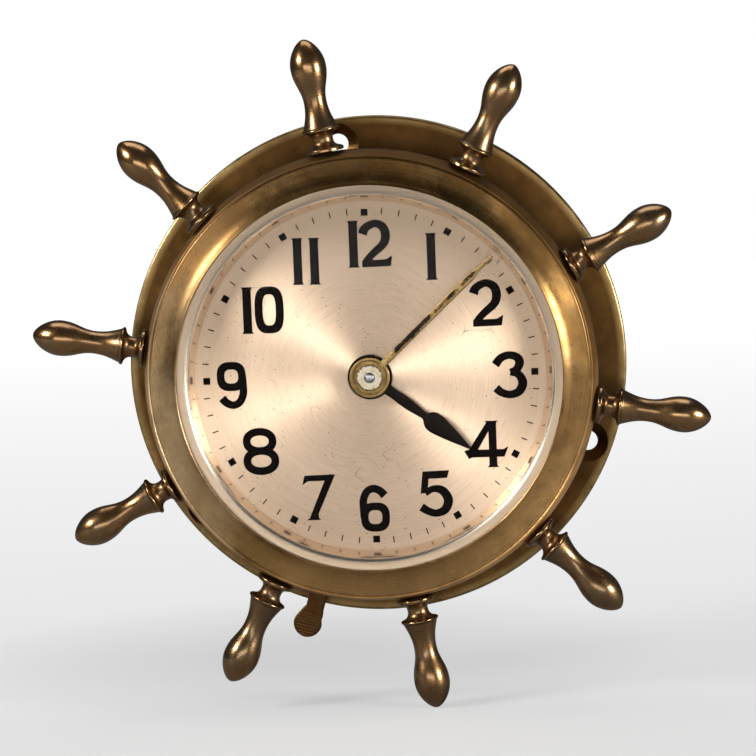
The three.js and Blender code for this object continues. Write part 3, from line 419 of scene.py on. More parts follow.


# What a finish doesn't say is as here. A side tone is patina and painted light and shade: another tone
# towards one side of the clock, given by its colour, the side's angle, the distances that way (in metres)
# between which it comes in, and its amount.
plainFinish = Sizes(
    clouds=60.0, tarnish=0.9, pits=0.8, lines=5000.0, lineShade=0.0, lineDepth=0.0, roughness=0.30,
    bump=0.3, grime=1.0, patina=[])
finishes = Sizes(
    wheelRim=Sizes(
        bright=(0.58, 0.312, 0.10), brown=(0.30, 0.155, 0.047), dirt=(0.03, 0.017, 0.007),
        rubbed=(0.40, 0.225, 0.075), film=(0.44, 0.28, 0.12), clouds=34.0, tarnish=0.85, pits=0.6,
        lines=7000.0, lineShade=0.06, lineDepth=0.5, roughness=0.19, bump=0.25, anisotropy=0.6,
        stain=(0.25, 0.115, 0.030), grime=0.5,
        # top darker; painted light lower right, left and bottom; painted shade over highlights at 142 and 2
        # degrees
        patina=[
            ((0.085, 0.043, 0.013), 78, 0.038, 0.060, 0.75),
            ((0.96, 0.55, 0.21), -40, 0.047, 0.062, 0.8),
            ((0.82, 0.57, 0.31), 192, 0.042, 0.060, 0.75),
            ((0.20, 0.11, 0.042), 142, 0.042, 0.060, 0.75),
            ((0.15, 0.078, 0.024), 2, 0.052, 0.066, 0.65),
            ((0.66, 0.385, 0.155), 270, 0.045, 0.062, 0.7),
        ]),
    spoke=Sizes(
        bright=(0.46, 0.245, 0.092), brown=(0.19, 0.097, 0.037), dirt=(0.014, 0.008, 0.004),
        rubbed=(0.36, 0.22, 0.09), film=(0.25, 0.185, 0.105), tarnish=0.8, pits=0.5,
        lines=9000.0, lineShade=0.06, lineDepth=0.25, roughness=0.18, bump=0.08, lacquer=0.5),
    flange=Sizes(
        bright=(0.175, 0.089, 0.026), brown=(0.075, 0.035, 0.010), dirt=(0.024, 0.013, 0.006),
        rubbed=(0.74, 0.51, 0.21), film=(0.115, 0.062, 0.021), clouds=28.0, tarnish=0.95,
        lineShade=0.1, lineDepth=0.4, anisotropy=0.4,
        # darker towards the top of the flange
        patina=[((0.06, 0.024, 0.006), 80, 0.045, 0.074, 0.5)]),
    case=Sizes(
        bright=(0.19, 0.102, 0.035), brown=(0.08, 0.04, 0.013), dirt=(0.024, 0.013, 0.006),
        rubbed=(0.28, 0.17, 0.065), film=(0.13, 0.08, 0.034), clouds=40.0),
    lever=Sizes(
        bright=(0.16, 0.070, 0.021), brown=(0.066, 0.027, 0.008), dirt=(0.018, 0.009, 0.004),
        rubbed=(0.22, 0.12, 0.042), film=(0.10, 0.052, 0.018)),
    hub=Sizes(
        bright=(0.40, 0.25, 0.095), brown=(0.14, 0.08, 0.028), dirt=(0.03, 0.018, 0.008),
        rubbed=(0.5, 0.33, 0.13), film=(0.10, 0.055, 0.018), clouds=220.0, tarnish=0.8, pits=0.9,
        lines=9000.0, lineShade=0.15, lineDepth=0.5),
    movement=Sizes(
        bright=(0.68, 0.52, 0.26), brown=(0.42, 0.29, 0.13), dirt=(0.08, 0.05, 0.03),
        rubbed=(0.74, 0.58, 0.3), film=(0.6, 0.46, 0.24), clouds=50.0, tarnish=0.6, pits=0.3,
        lines=4000.0, lineShade=0.05, lineDepth=0.2, roughness=0.26, bump=0.15),
    steel=Sizes(
        bright=(0.56, 0.56, 0.57), brown=(0.34, 0.33, 0.32), dirt=(0.06, 0.05, 0.045),
        rubbed=(0.6, 0.6, 0.61), film=(0.45, 0.44, 0.43), clouds=90.0, tarnish=0.5, pits=0.4,
        lines=6000.0, lineShade=0.05, lineDepth=0.2, roughness=0.22, bump=0.15),
)
metals = {name: brassMaterial(name + "Metal", Sizes(plainFinish, **look)) for name, look in finishes.items()}
print("metals made:", ", ".join(metals))


# Silvered brass, brushed in rings: the grooves run round the axis, so the light spreads across them in wedges
def silverMaterial(name, look):
    net = Surface(name)
    place = net.place()
    where = net.split(place)
    rings = net.group(brushedRingsGroup, {"Ring Scale": look.rings, "Arc Scale": 4.0})
    lines, radius = rings["Lines"], rings["Radius"]
    colour = net.mix(net.ramp(net.noise(place, 22.0, 4.0, 0.6), 0.35, 0.68), look.silver, look.warm)
    colour = net.mix(net.ramp(lines, 0.3, 0.72, 0.0, look.lineShade), colour, look.shade)
    rare = net.ramp(net.noise(place, 130.0, 4.0, 0.6), 0.42, 0.54)
    specks = net.times(net.times(net.spots(place, 560.0, 0.13, 0.06), rare), look.specks, True)
    hair = net.minus(net.noise(place, 70.0, 1.0, 0.4, 1.2), 0.5)
    hair = net.ramp(net.maths("ABSOLUTE", hair), 0.0035, 0.0)
    broken = net.ramp(net.noise(place, 45.0, 3.0, 0.6), 0.53, 0.62)
    scratches = net.times(net.times(hair, broken), look.scratches, True)
    dashes = net.times(net.ramp(lines, 0.66, 0.74), net.ramp(net.noise(place, 60.0), 0.5, 0.6))
    flaws = net.larger(net.larger(specks, scratches), net.times(dashes, look.dashes))
    # painted shade: darker towards the dial's edge under the bezel's lip, more towards the top, as the lip's
    # shadow
    lipShadeMask = net.times(net.ramp(radius, 0.035, 0.048), net.ramp(where["Z"], -0.035, 0.02, 0.3, 1.0))
    colour = net.mix(net.times(lipShadeMask, look.dullEdge), colour, look.shade)
    colour = net.mix(flaws, colour, (0.16, 0.11, 0.07))
    rough = net.ramp(lines, 0.25, 0.75, look.roughness - 0.05, look.roughness + 0.06)
    if "ledge" in look:  # satin outside this radius
        ledge = net.ramp(radius, look.ledge.start, look.ledge.end)
        colour = net.mix(ledge, colour, look.ledge.colour)
        rough = net.plus(rough, net.times(ledge, look.ledge.rougher))
    if "anisotropy" in look:
        outward = net.join({"X": where["X"], "Z": where["Z"]})
        net.shade({"Tangent": net.grooves(outward), "Anisotropic": look.anisotropy})
    rough = net.plus(rough, net.times(flaws, 0.3), True)
    return net.shade({"Base Color": colour, "Roughness": rough, "Metallic": 1.0,
                      "Normal": net.bump(lines, look.bump, 0.00005)})


silvers = Sizes(
    dial=silverMaterial("dialSilver", Sizes(
        silver=(0.93, 0.70, 0.52), warm=(0.84, 0.62, 0.45), shade=(0.54, 0.39, 0.275), rings=3200.0,
        lineShade=0.4, specks=0.85, scratches=0.75, dashes=0.5, dullEdge=0.85, roughness=0.52,
        anisotropy=0.85, bump=0.12)),
    surround=silverMaterial("surroundSilver", Sizes(
        silver=(0.98, 0.87, 0.75), warm=(0.95, 0.82, 0.69), shade=(0.76, 0.63, 0.51), rings=2600.0,
        lineShade=0.12, specks=0.2, scratches=0.15, dashes=0.1, dullEdge=0.0, roughness=0.17,
        bump=0.01, ledge=Sizes(start=0.0550, end=0.0557, colour=(0.62, 0.46, 0.325), rougher=0.24))),
)


# Printed ink, a little worn: fine specks of silver show through it
def inkMaterial():
    net = Surface("dialInk")
    place = net.place()
    worn = net.ramp(net.noise(place, 2600.0, 5.0, 0.7), 0.60, 0.72)
    share = net.times(worn, net.ramp(net.noise(place, 45.0, 2.0), 0.42, 0.66), True)
    return net.shade({"Base Color": net.mix(share, (0.004, 0.0027, 0.0022), (0.20, 0.15, 0.11)),
                      "Roughness": net.ramp(share, 0.0, 1.0, 0.5, 0.35), "Specular IOR Level": 0.03})


# Black paint on brass: along the hand's middle it holds, at its edges and in chips the brass shows
def paintMaterial(name, look):
    net = Surface(name)
    place = net.place()
    chips = net.noise(place, look.chips, 5.0, 0.65)
    patches = net.noise(place, 160.0, 3.0, 0.6)
    thin = net.plus(net.times(chips, 0.6), net.times(patches, 0.4))
    thin = net.plus(net.times(net.mask("wear"), look.edge), thin)
    bare = net.ramp(thin, look.worn, look.worn + 0.05)
    metal = net.mix(net.ramp(chips, 0.4, 0.6), look.metal, look.metalDark)
    return net.shade({"Base Color": net.mix(bare, look.paint, metal), "Metallic": bare,
                      "Roughness": net.ramp(bare, 0.0, 1.0, look.gloss, 0.34), "Specular IOR Level": 0.08,
                      "Normal": net.bump(net.minus(1.0, bare), 0.3, 0.00008)})


# Clear glass: rays for shadows and for soft light pass straight through
def glassMaterial():
    net = Surface("crystalGlass")
    net.shade({"Base Color": (0.97, 0.98, 0.97), "Roughness": 0.0, "IOR": 1.1, "Transmission Weight": 1.0})
    path = net.add("LightPath").outputs
    net.clearWhere(net.larger(path["Is Shadow Ray"], path["Is Diffuse Ray"]), (0.96, 0.97, 0.96))
    return net.material


inkBlack = inkMaterial()
hourPaint = paintMaterial("hourHandPaint", Sizes(
    chips=900.0, edge=0.12, worn=0.66, metal=(0.45, 0.32, 0.15), metalDark=(0.2, 0.13, 0.06),
    paint=(0.008, 0.0045, 0.003), gloss=0.34))
minutePaint = paintMaterial("minuteHandPaint", Sizes(
    chips=1500.0, edge=0.17, worn=0.56, metal=(0.52, 0.35, 0.15), metalDark=(0.26, 0.15, 0.055),
    paint=(0.016, 0.009, 0.006), gloss=0.5))
crystalGlass = glassMaterial()
print("dial, ink, paint and glass made")


def dress(piece, material):
    piece.data.materials.clear()
    piece.data.materials.append(material)


def ready(piece, body, slot, material, *replaced):
    dress(piece, material)
    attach(piece, body)
    if replaced:
        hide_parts(*replaced)


# Wheel rim: narrow lip at the glass, broad satin face, fine groove, rounded outer edge, narrow skirt behind.
# The face falls from the lip by the tangent of its slope, summed outwards from one radius to the next.
rim = Sizes(
    sight=57.6, front=43.9, lip=0.5, lipDrop=0.12, lipBack=1.0, slopeAt=[58.1, 59.4, 60.5, 62.0, 65.5],
    slopes=[41, 27, 18, 12, 9], faceSteps=26, faceGap=0.1, groove=65.8, grooveHalf=0.16, grooveFloor=0.07,
    grooveDepth=0.16, grooveStep=0.05, shoulder=0.7, shoulderDrop=0.12, flankDrop=9.2, outside=68.0,
    back=32.2, skirt=65.3, skirtBack=21.65, ringSeat=64.55, ringFront=25.0, bore=58.9, beadRoom=60.0,
    beadBack=32.3, beadFront=34.1, inside=59.2, stainBefore=0.2, stainFade=0.3, stainClear=0.3,
    stainFoot=0.6, lipRounds=[0.1, 0.2, 0.1], backRounds=[0.1] * 8,
    edgeRounds=[0.1, 0.1, 0.1, 0.12, 0.25, 0.6, 0.5, 0.3, 0.2])


def makeRim():
    sight, front, groove, outside = rim.sight, rim.front, rim.groove, rim.outside
    back, skirt, bore, seat = rim.back, rim.skirt, rim.bore, rim.ringSeat
    half, floor, lipBack = rim.grooveHalf, rim.grooveFloor, front - rim.lipBack
    out = np.linspace(sight + rim.lip, groove - half - rim.faceGap, rim.faceSteps)
    fall = np.tan(np.radians(np.interp(out, rim.slopeAt, rim.slopes))) * (out[1] - out[0])
    height = front - rim.lipDrop - np.concatenate([[0], np.cumsum(fall[:-1])])
    faceEnd, flankEnd = height[-1], front - rim.flankDrop
    grooveEnd = faceEnd - rim.grooveDepth
    lip = [[sight, lipBack], [sight, front], [sight + rim.lip / 2, front]]
    face = np.stack([out, height], axis=1)
    edge = [[groove - half, faceEnd - rim.grooveStep], [groove - floor, grooveEnd],
            [groove + floor, grooveEnd], [groove + half, faceEnd],
            [groove + rim.shoulder, faceEnd - rim.shoulderDrop], [outside, flankEnd], [outside, back],
            [skirt, back], [skirt, rim.skirtBack]]
    behind = [[seat, rim.skirtBack], [seat, rim.ringFront], [bore, rim.ringFront], [bore, rim.beadBack],
              [rim.beadRoom, rim.beadBack], [rim.beadRoom, rim.beadFront], [rim.inside, rim.beadFront],
              [rim.inside, lipBack]]
    rounds = np.concatenate([rim.lipRounds, 0 * out, rim.edgeRounds, rim.backRounds])

    # The brown skin comes in across the groove's outer half and goes out towards the flank's foot
    def stain(at):
        outer = (at[:, 0] - groove - half + rim.stainBefore) / rim.stainFade
        upper = (at[:, 1] - flankEnd - rim.stainClear) / rim.stainFoot
        return np.clip(outer, 0, 1) * np.clip(upper, 0, 1)

    outline = roundedOutline(np.concatenate([lip, face, edge, behind]), rounds)
    piece = turnedPiece("wheelRim", outline, onClock, columns=288, step=0.42, spread=0.5, stain=stain)
    ready(piece, "wheel", "wheel_brass", metals["wheelRim"], "wheel_rim")


makeRim()

# Turned spokes: flared foot, hollow neck, sharp collar, waist and a swelling handle
spokes = Sizes(
    count=10, turn=-8.8, foot=68.3, height=35.3, length=33.9, middle=0.6, flare=5.7, flareEdge=1.0,
    footRounds=[0, 0.25, 0.3, 0], neck=3.1, neckFrom=3.5, neckTo=3.7, collar=5.65, collarAt=6.3,
    collarThick=0.75, waist=3.4, waistAt=15.1, knob=5.35, knobAt=25.6, tip=0.12)


# Cubic curves from one part of a spoke to the next, given by their ends and pulls as (radius, distance out)
def spokeOutline():
    s = spokes
    collarTop = s.collarAt + s.collarThick
    fall, swell, end = s.waistAt - collarTop, s.knobAt - s.waistAt, s.length - s.knobAt
    foot = roundedOutline([[s.middle, 0], [s.flare, 0], [s.flare, s.flareEdge], [s.neck, 1.7]], s.footRounds)
    return np.concatenate([
        foot[:3 * roundSteps],
        bezier((s.flare - 0.45, 1.25), (s.neck + 0.2, 1.8), (s.neck, 2.4), (s.neck, s.neckFrom), 10),
        bezier((s.neck, s.neckTo), (s.neck, 4.8), (s.neck + 0.5, 5.9), (s.collar - 0.25, s.collarAt), 10),
        [[s.collar, s.collarAt + 0.15], [s.collar, collarTop - 0.2], [s.collar - 0.2, collarTop]],
        bezier((s.collar - 0.45, collarTop + 0.1), (s.collar - 1.1, collarTop + fall * 0.25),
               (s.waist, s.waistAt - fall * 0.45), (s.waist, s.waistAt), 18),
        bezier((s.waist, s.waistAt), (s.waist, s.waistAt + swell * 0.42),
               (s.knob, s.knobAt - swell * 0.45), (s.knob, s.knobAt), 18)[1:],
        bezier((s.knob, s.knobAt), (s.knob, s.knobAt + end * 0.5), (2.3, s.length - 0.25),
               (s.tip, s.length), 22)[1:],
    ])


def makeSpoke(number, outline):
    turn = np.radians(spokes.turn + 360 / spokes.count * number)

    def alongSpoke(radius, angle, height):
        return onRay(turn, spokes.foot + height, radius * np.cos(angle),
                     spokes.height + radius * np.sin(angle))

    name = f"spoke_{number + 1}"
    piece = turnedPiece("turned_" + name, outline, alongSpoke, columns=56, step=0.45, spread=0.45,
                        ends=(0.0, spokes.length))
    ready(piece, "wheel", "wheel_brass", metals["spoke"], name)


outlineOfSpoke = spokeOutline()
for number in range(spokes.count):
    makeSpoke(number, outlineOfSpoke)
print("wheel made: rim and", spokes.count, "spokes")

# Mounting flange: a turned disc with countersunk screw holes
flange = Sizes(
    radius=76.2, thickness=3.0, edge=0.9, backEdge=0.3, middle=0.4, screwCircle=68.5, screwTurn=98,
    screws=3, hole=3.1, sink=6.3, sinkDepth=1.9, cutMiddle=0.2, cutBeyond=1.0)


def makeFlange():
    radius, thickness, middle = flange.radius, flange.thickness, flange.middle
    outline = roundedOutline([[middle, 0], [radius, 0], [radius, thickness], [middle, thickness]],
                             [0, flange.backEdge, flange.edge, 0])
    piece = turnedPiece("flangePlate", outline[roundSteps - 1:1 - roundSteps], onClock,
                        columns=256, step=1.6, spread=0.7, ends=(0.0, thickness))
    hole, sink, low, high = flange.hole, flange.sink, -flange.cutBeyond, thickness + flange.cutBeyond
    cut = [[flange.cutMiddle, low], [hole, low], [hole, thickness - flange.sinkDepth], [sink, thickness],
           [sink, high], [flange.cutMiddle, high]]
    cutters = []
    for number in range(flange.screws):
        turn = np.radians(flange.screwTurn + 360 / flange.screws * number)

        def aroundScrew(r, angle, height, x=flange.screwCircle * np.cos(turn),
                        y=flange.screwCircle * np.sin(turn)):
            return onDial(x + r * np.cos(angle), y + r * np.sin(angle), height)

        cutters.append(turnedPiece(f"screwCutter{number}", cut, aroundScrew, columns=48, step=5,
                                   ends=(low, high)))
    carve(piece, cutters)
    ready(piece, "case", "aged_brass", metals["flange"], "mounting_flange")


makeFlange()

# Case drum: a plain tube with a bead, a slot for the lever and a window for the winding pinion
drum = Sizes(
    radius=58.5, wall=1.6, back=3.3, front=33.5, bead=1.1, beadWidth=0.8, cutBeyond=1.5,
    rounds=[0.2, 0.15, 0.15, 0.2, 0.2, 0.2],
    slot=Sizes(turn=253, aside=1.1, width=10.4, back=9.8, front=11.8),
    window=Sizes(turn=290, aside=0.0, width=17.4, back=21.3, front=25.0))


# A box through the drum's wall, which stands out at both faces by so many walls
def wallCutter(name, cut):
    inner, outer = drum.radius - drum.wall * (1 + drum.cutBeyond), drum.radius + drum.wall * drum.cutBeyond
    low, high = cut.aside - cut.width / 2, cut.aside + cut.width / 2
    outward = np.tile([inner, outer, outer, inner], 2)
    side = np.tile([low, low, high, high], 2)
    corners = onRay(np.radians(cut.turn), outward, side, np.repeat([cut.back, cut.front], 4))
    faces = np.array([[3, 2, 1, 0], [4, 5, 6, 7], [0, 1, 5, 4], [1, 2, 6, 5], [2, 3, 7, 6], [3, 0, 4, 7]])
    return makePiece(name, corners, [faces])


def makeDrum():
    radius, back, front = drum.radius, drum.back, drum.front
    inside, bead, beadBack = radius - drum.wall, radius + drum.bead, front - drum.beadWidth
    outline = roundedOutline([[radius, back], [radius, beadBack], [bead, beadBack], [bead, front],
                              [inside, front], [inside, back]], drum.rounds)
    piece = turnedPiece("caseDrum", outline, onClock, columns=224, step=1.6)
    carve(piece, [wallCutter("slotCutter", drum.slot), wallCutter("windowCutter", drum.window)])
    ready(piece, "case", "aged_brass", metals["case"], "case_drum")


makeDrum()
print("case made: flange and drum")

# Dial surround: a polished silvered ring, steep from the dial to a narrow ledge below the glass
surround = Sizes(
    foot=52.6, head=57.2, back=36.3, height=4.5, wall=0.6, bend=(54.75, 40.2), bendRound=1.2,
    footStep=0.08, headStep=0.02, brow=0.15)


def makeSurround():
    foot, head, back = surround.foot, surround.head, surround.back
    top, outside = back + surround.height, head + surround.wall
    hollow = [[foot, back + surround.footStep], surround.bend, [head, top - surround.headStep]]
    hollow = roundedOutline(hollow, [0, surround.bendRound, 0])[roundSteps - 1:2 * roundSteps + 1]
    rest = [[head + surround.brow, top], [outside, top], [outside, back], [foot, back]]
    piece = turnedPiece("dialSurround", np.concatenate([hollow, rest]), onClock, columns=256, step=0.5,
                        spread=0.3, sharpAngle=40)
    ready(piece, "case", "silvered_brass", silvers.surround, "dial_surround")


makeSurround()

# Printed marks: slabs of ink between a left and a right edge, on the dial's face
ink = Sizes(
    face=36.0, lift=0.005, thickness=0.05, ticks=60, tickFrom=48.6, tickTo=50.5, tickWidth=0.34,
    squareAt=49.1, square=2.05, overprint=0.003)


def inkSlab(left, right, closed=False):
    left, right = np.asarray(left, float), np.asarray(right, float)
    low, high = ink.face + ink.lift, ink.face + ink.thickness
    loops = [onDial(side[:, 0], side[:, 1], height) for side, height in
             ((left, low), (left, high), (right, high), (right, low))]
    corners = np.stack(loops, axis=1).reshape(-1, 3)
    faces = [gridFaces(len(left), 4, wrapRows=closed)]
    if not closed:
        last = 4 * (len(left) - 1)
        faces.append(np.array([[3, 2, 1, 0], [last, last + 1, last + 2, last + 3]]))
    return corners, facingOut(corners, faces)


# A smooth line through the points: between two of them it is the cubic whose slopes are half the step
# from the point before to the point after. Offset to both sides by the half widths, it is a stroke.
def stroke(at, points, halfWidths, count=60):
    points = np.asarray(points, float)
    place = np.linspace(0, len(points) - 1, count)
    i = np.minimum(place.astype(int), len(points) - 2)
    t = (place - i)[:, None]
    before, here = points[np.maximum(i - 1, 0)], points[i]
    after, beyond = points[i + 1], points[np.minimum(i + 2, len(points) - 1)]
    line = 0.5 * (2 * here + (after - before) * t + (2 * before - 5 * here + 4 * after - beyond) * t ** 2
                  + (3 * here - before - 3 * after + beyond) * t ** 3)
    half = np.interp(place, np.arange(len(points)), halfWidths)[:, None]
    ahead = np.gradient(line, axis=0)
    ahead /= np.linalg.norm(ahead, axis=1, keepdims=True)
    side = np.stack([-ahead[:, 1], ahead[:, 0]], axis=1) * half
    return inkSlab(line + side + at, line - side + at)


# A closed bowl: an oval line round the middle, as thick as twice the half
def bowl(at, middle, across, upward, half, fullness, count=72):
    shape = np.stack(oval(fullCircle(count), 2 / fullness), axis=1)
    centre = np.array(middle) + at
    return inkSlab(shape * [across - half, upward - half] + centre,
                   shape * [across + half, upward + half] + centre, closed=True)


# A straight stem whose ends flare into thin serifs as a bell curve
def stem(at, half=1.3, serif=0.42, reach=7.0, flare=0.42, count=60):
    y = reach * np.sin(np.linspace(-np.pi / 2, np.pi / 2, count))
    wide = half + serif * np.exp(-((reach - np.abs(y)) / flare) ** 2)
    return inkSlab(np.stack([-wide, y], axis=1) + at, np.stack([wide, y], axis=1) + at)


def patch(at, left, right):
    return inkSlab(np.asarray(left, float) + at, np.asarray(right, float) + at)


# The strokes of each figure, in millimetres from its middle. A 6 is a 9 turned over.
tail = np.array([(3.2, 2.9), (3.35, 0), (3.3, -2.6), (2.2, -5.0), (0.3, -5.9), (-1.7, -5.2), (-3.1, -3.7)])
tailHalf = [1.15, 1.15, 1.15, 1.15, 1.15, 1.2, 1.25]
figures = {
    0: [(bowl, (0, 0), 3.15, 5.85, 1.2, 3.0)],
    1: [(stem,)],
    2: [(stroke, [(-3.8, 2.9), (-2.9, 4.7), (-0.1, 6.0), (2.3, 4.9), (3.1, 2.4), (2.3, -0.2), (-0.6, -2.8),
                  (-2.5, -4.7), (-3.1, -5.8)], [1.45, 1.25, 1.12, 1.3, 1.38, 1.25, 1.12, 1.05, 1.0]),
        (patch, [(-4.15, -4.9), (2.9, -4.8), (4.9, -3.65)], [(-4.15, -7.0), (2.6, -6.9), (4.4, -6.8)])],
    3: [(stroke, [(-4.2, 3.1), (-2.5, 5.1), (0, 5.9), (2.3, 5.2), (3.05, 3.6), (2.1, 1.6), (0.2, 0.8)],
         [1.28, 1.2, 1.15, 1.25, 1.35, 1.2, 1.0]),
        (stroke, [(0.2, 0.8), (2.6, 0.1), (3.8, -2.5), (2.6, -5.0), (0, -5.9), (-2.6, -5.2), (-4.2, -3.8)],
         [1.0, 1.2, 1.38, 1.3, 1.15, 1.2, 1.28])],
    4: [(stem, 1.18, 0.5),
        (patch, [(-2.2, 7.0), (-1.75, 6.5), (-7.1, -1.5)], [(0.2, 7.0), (0.2, 6.2), (-4.5, -1.7)]),
        (patch, [(-8.6, -1.9), (-7.2, -1.5), (-5.5, -1.6), (3.2, -1.6), (4.7, -0.75)],
         [(-7.2, -4.4), (-6.4, -3.95), (-5.5, -3.9), (2.7, -3.9), (3.4, -3.9)])],
    5: [(patch, [(-3.6, 6.7), (4.4, 6.9)], [(-3.9, 4.4), (3.7, 4.6)]),
        (patch, [(-3.6, 6.6), (-4.4, 0.0)], [(-1.6, 6.5), (-2.3, 0.3)]),
        (stroke, [(-3.0, 0.1), (-0.6, 1.4), (2.2, 0.8), (3.85, -2.0), (2.8, -4.9), (0.2, -5.95), (-2.2, -5.3),
                  (-4.3, -4.0)], [0.95, 1.0, 1.3, 1.4, 1.3, 1.1, 1.15, 1.28])],
    6: [(bowl, (0.1, -2.75), 3.2, 3.25, 1.15, 2.7), (stroke, -tail, tailHalf)],
    7: [(patch, [(-4.3, 6.6), (-2.8, 6.7), (5.0, 6.85)], [(-5.0, 3.8), (-3.3, 4.95), (3.6, 5.0)]),
        (patch, [(1.7, 4.95), (-2.7, -5.2), (-3.1, -6.2), (-4.1, -6.85)],
         [(5.0, 6.85), (-0.4, -5.0), (-0.3, -6.2), (0.3, -6.85)])],
    8: [(bowl, (-0.1, 3.05), 3.9, 2.9, 1.15, 2.15), (bowl, (0.2, -2.9), 4.2, 3.05, 1.18, 2.15)],
    9: [(bowl, (-0.1, 2.75), 3.2, 3.25, 1.15, 2.7), (stroke, tail, tailHalf)],
}
numerals = [(1, -3.6, 39.7), (2, 3.0, 39.7), (1, 19.5, 35.3), (2, 35.4, 20.9), (3, 41.6, -0.8),
            (4, 35.8, -21.4), (5, 18.1, -35.8), (6, -0.2, -39.7), (7, -16.7, -36.0), (8, -33.9, -21.6),
            (9, -41.6, -1.5), (1, -36.1, 20.9), (0, -29.5, 20.9), (1, -20.4, 35.1), (1, -15.4, 35.0)]


# Each next stroke of a figure lies a little above the one before, so that no two faces fall together
def numeralShapes():
    shapes = []
    for number, x, y in numerals:
        for layer, (draw, *sizes) in enumerate(figures[number]):
            corners, faces = draw(np.array([x, y]), *sizes)
            shapes.append((corners - [0, layer * ink.overprint * mm, 0], faces))
    return shapes


def tickShape(minute):
    turn = np.pi / 2 - 2 * np.pi * minute / ink.ticks
    out, side = np.array([np.cos(turn), np.sin(turn)]), np.array([-np.sin(turn), np.cos(turn)])
    half, near, far = ink.tickWidth / 2, ink.tickFrom, ink.tickTo
    if minute % 5 == 0:
        half = ink.square / 2
        near, far = ink.squareAt - half, ink.squareAt + half
    return inkSlab([out * near + side * half, out * far + side * half],
                   [out * near - side * half, out * far - side * half])


marks = {"dialNumerals": numeralShapes(), "minuteMarks": [tickShape(minute) for minute in range(ink.ticks)]}
for name, shapes in marks.items():
    ready(makePiece(name, *joined(shapes), sharpAngle=30), "case", "black_paint", inkBlack)
print("dial marks made:", len(numerals), "figures and", ink.ticks, "minute marks")


# A bar along a ray from the axis: one loop of points for each distance out, and a single point at each end
def barShape(turn, outward, across, height):
    corners = onRay(turn, outward[:, None], across, height).reshape(-1, 3)
    columns = across.shape[1]
    last = len(corners) - columns
    ends = [corners[:columns].mean(0), corners[last:].mean(0)]
    faces = [gridFaces(len(outward), columns), fanFaces(0, columns, len(corners))[:, ::-1],
             fanFaces(last, columns, len(corners) + 1)]
    return np.concatenate([corners, ends]), faces


# Hands: an oval section carried along each hand, as wide as it says at those distances, and a round hub
hands = Sizes(
    hour=Sizes(
        turn=-37.4, back=37.4, thickness=0.6, hub=6.7, hole=3.7, bareTo=0, bareFrom=99, bareSide=0.0, rubs=[],
        at=[5.6, 6.6, 8.5, 11.5, 15.0, 18.0, 20.0, 20.6, 21.3, 22.3, 23.6, 25.2, 27.5, 30.2, 33.0, 35.4,
            36.7],
        wide=[3.6, 3.2, 2.9, 3.3, 3.2, 2.5, 2.1, 3.0, 4.7, 5.8, 6.2, 5.9, 5.0, 3.9, 2.5, 1.3, 0.6]),
    minute=Sizes(
        turn=43.1, back=39.0, thickness=0.6, hub=6.0, hole=2.6, bareTo=12, bareFrom=44,
        bareSide=1.0, rubs=[(27.0, 0.9), (38.2, 1.1)],
        at=[5.0, 7.0, 12.0, 24.0, 36.0, 42.0, 43.6, 44.2, 45.5, 50.8, 51.6],
        wide=[2.2, 2.0, 2.0, 2.05, 2.2, 2.4, 2.2, 1.5, 1.15, 1.0, 0.8]),
)
handSection = Sizes(
    loops=150, points=20, power=0.55, reach=4, softness=2.2, bareFade=2, rubbed=0.8, bevel=0.35, edge=3)
handHub = Sizes(
    brim=0.75, step=0.95, stepDrop=0.14, floorDrop=0.1, rounds=[0.05, 0.1, 0.2, 0.1, 0.08, 0.05])


# The widths are smoothed by a bell curve over a few loops. Paint is thin at the edges and where it is rubbed.
def bladeShape(look):
    reach, fade = handSection.reach, handSection.bareFade
    along = np.linspace(look.at[0], look.at[-1], handSection.loops)
    half = np.interp(along, look.at, look.wide) / 2
    bell = np.exp(-(np.arange(-reach, reach + 1) / handSection.softness) ** 2)
    half = np.convolve(np.pad(half, reach, "edge"), bell / bell.sum(), "valid")
    angle = fullCircle(handSection.points)
    across, lift = oval(angle, handSection.power)
    height = look.back + look.thickness / 2 * (1 + lift[None])
    corners, faces = barShape(np.radians(look.turn), along, half[:, None] * across[None], height)
    bare = np.clip((look.bareTo - along) / fade, 0, 1) + np.clip((along - look.bareFrom) / fade, 0, 1)
    for middle, width in look.rubs:
        bare = bare + handSection.rubbed * np.exp(-((along - middle) / width) ** 2)
    bevel = look.bareSide * np.clip(-np.cos(angle) / handSection.bevel, 0, 1)
    edge = np.abs(np.cos(angle)) ** handSection.edge + bevel
    wear = np.clip(edge[None] + bare[:, None], 0, 1).ravel()
    return corners, faces, {"wear": np.concatenate([wear, [1, 1]])}


def makeHand(name, body, slot, material, hubMaterial):
    look = hands[name]
    blade = makePiece(name + "HandBlade", *bladeShape(look), sharpAngle=50)
    ready(blade, body, slot, material, name + "_hand")
    low, high, hub, hole = look.back, look.back + look.thickness, look.hub, look.hole
    outline = roundedOutline([[hole, low], [hub, low], [hub, high], [hub - handHub.brim, high],
                              [hub - handHub.step, high - handHub.stepDrop],
                              [hole, high - handHub.floorDrop]], handHub.rounds)
    disc = turnedPiece(name + "HandHub", outline, onClock, columns=96, step=0.2, spread=0.2)
    ready(disc, body, slot, hubMaterial, name + "_hand")


makeHand("hour", "hour_hand", "black_paint", hourPaint, hourPaint)
makeHand("minute", "minute_hand", "hand_brass", minutePaint, metals["hub"])


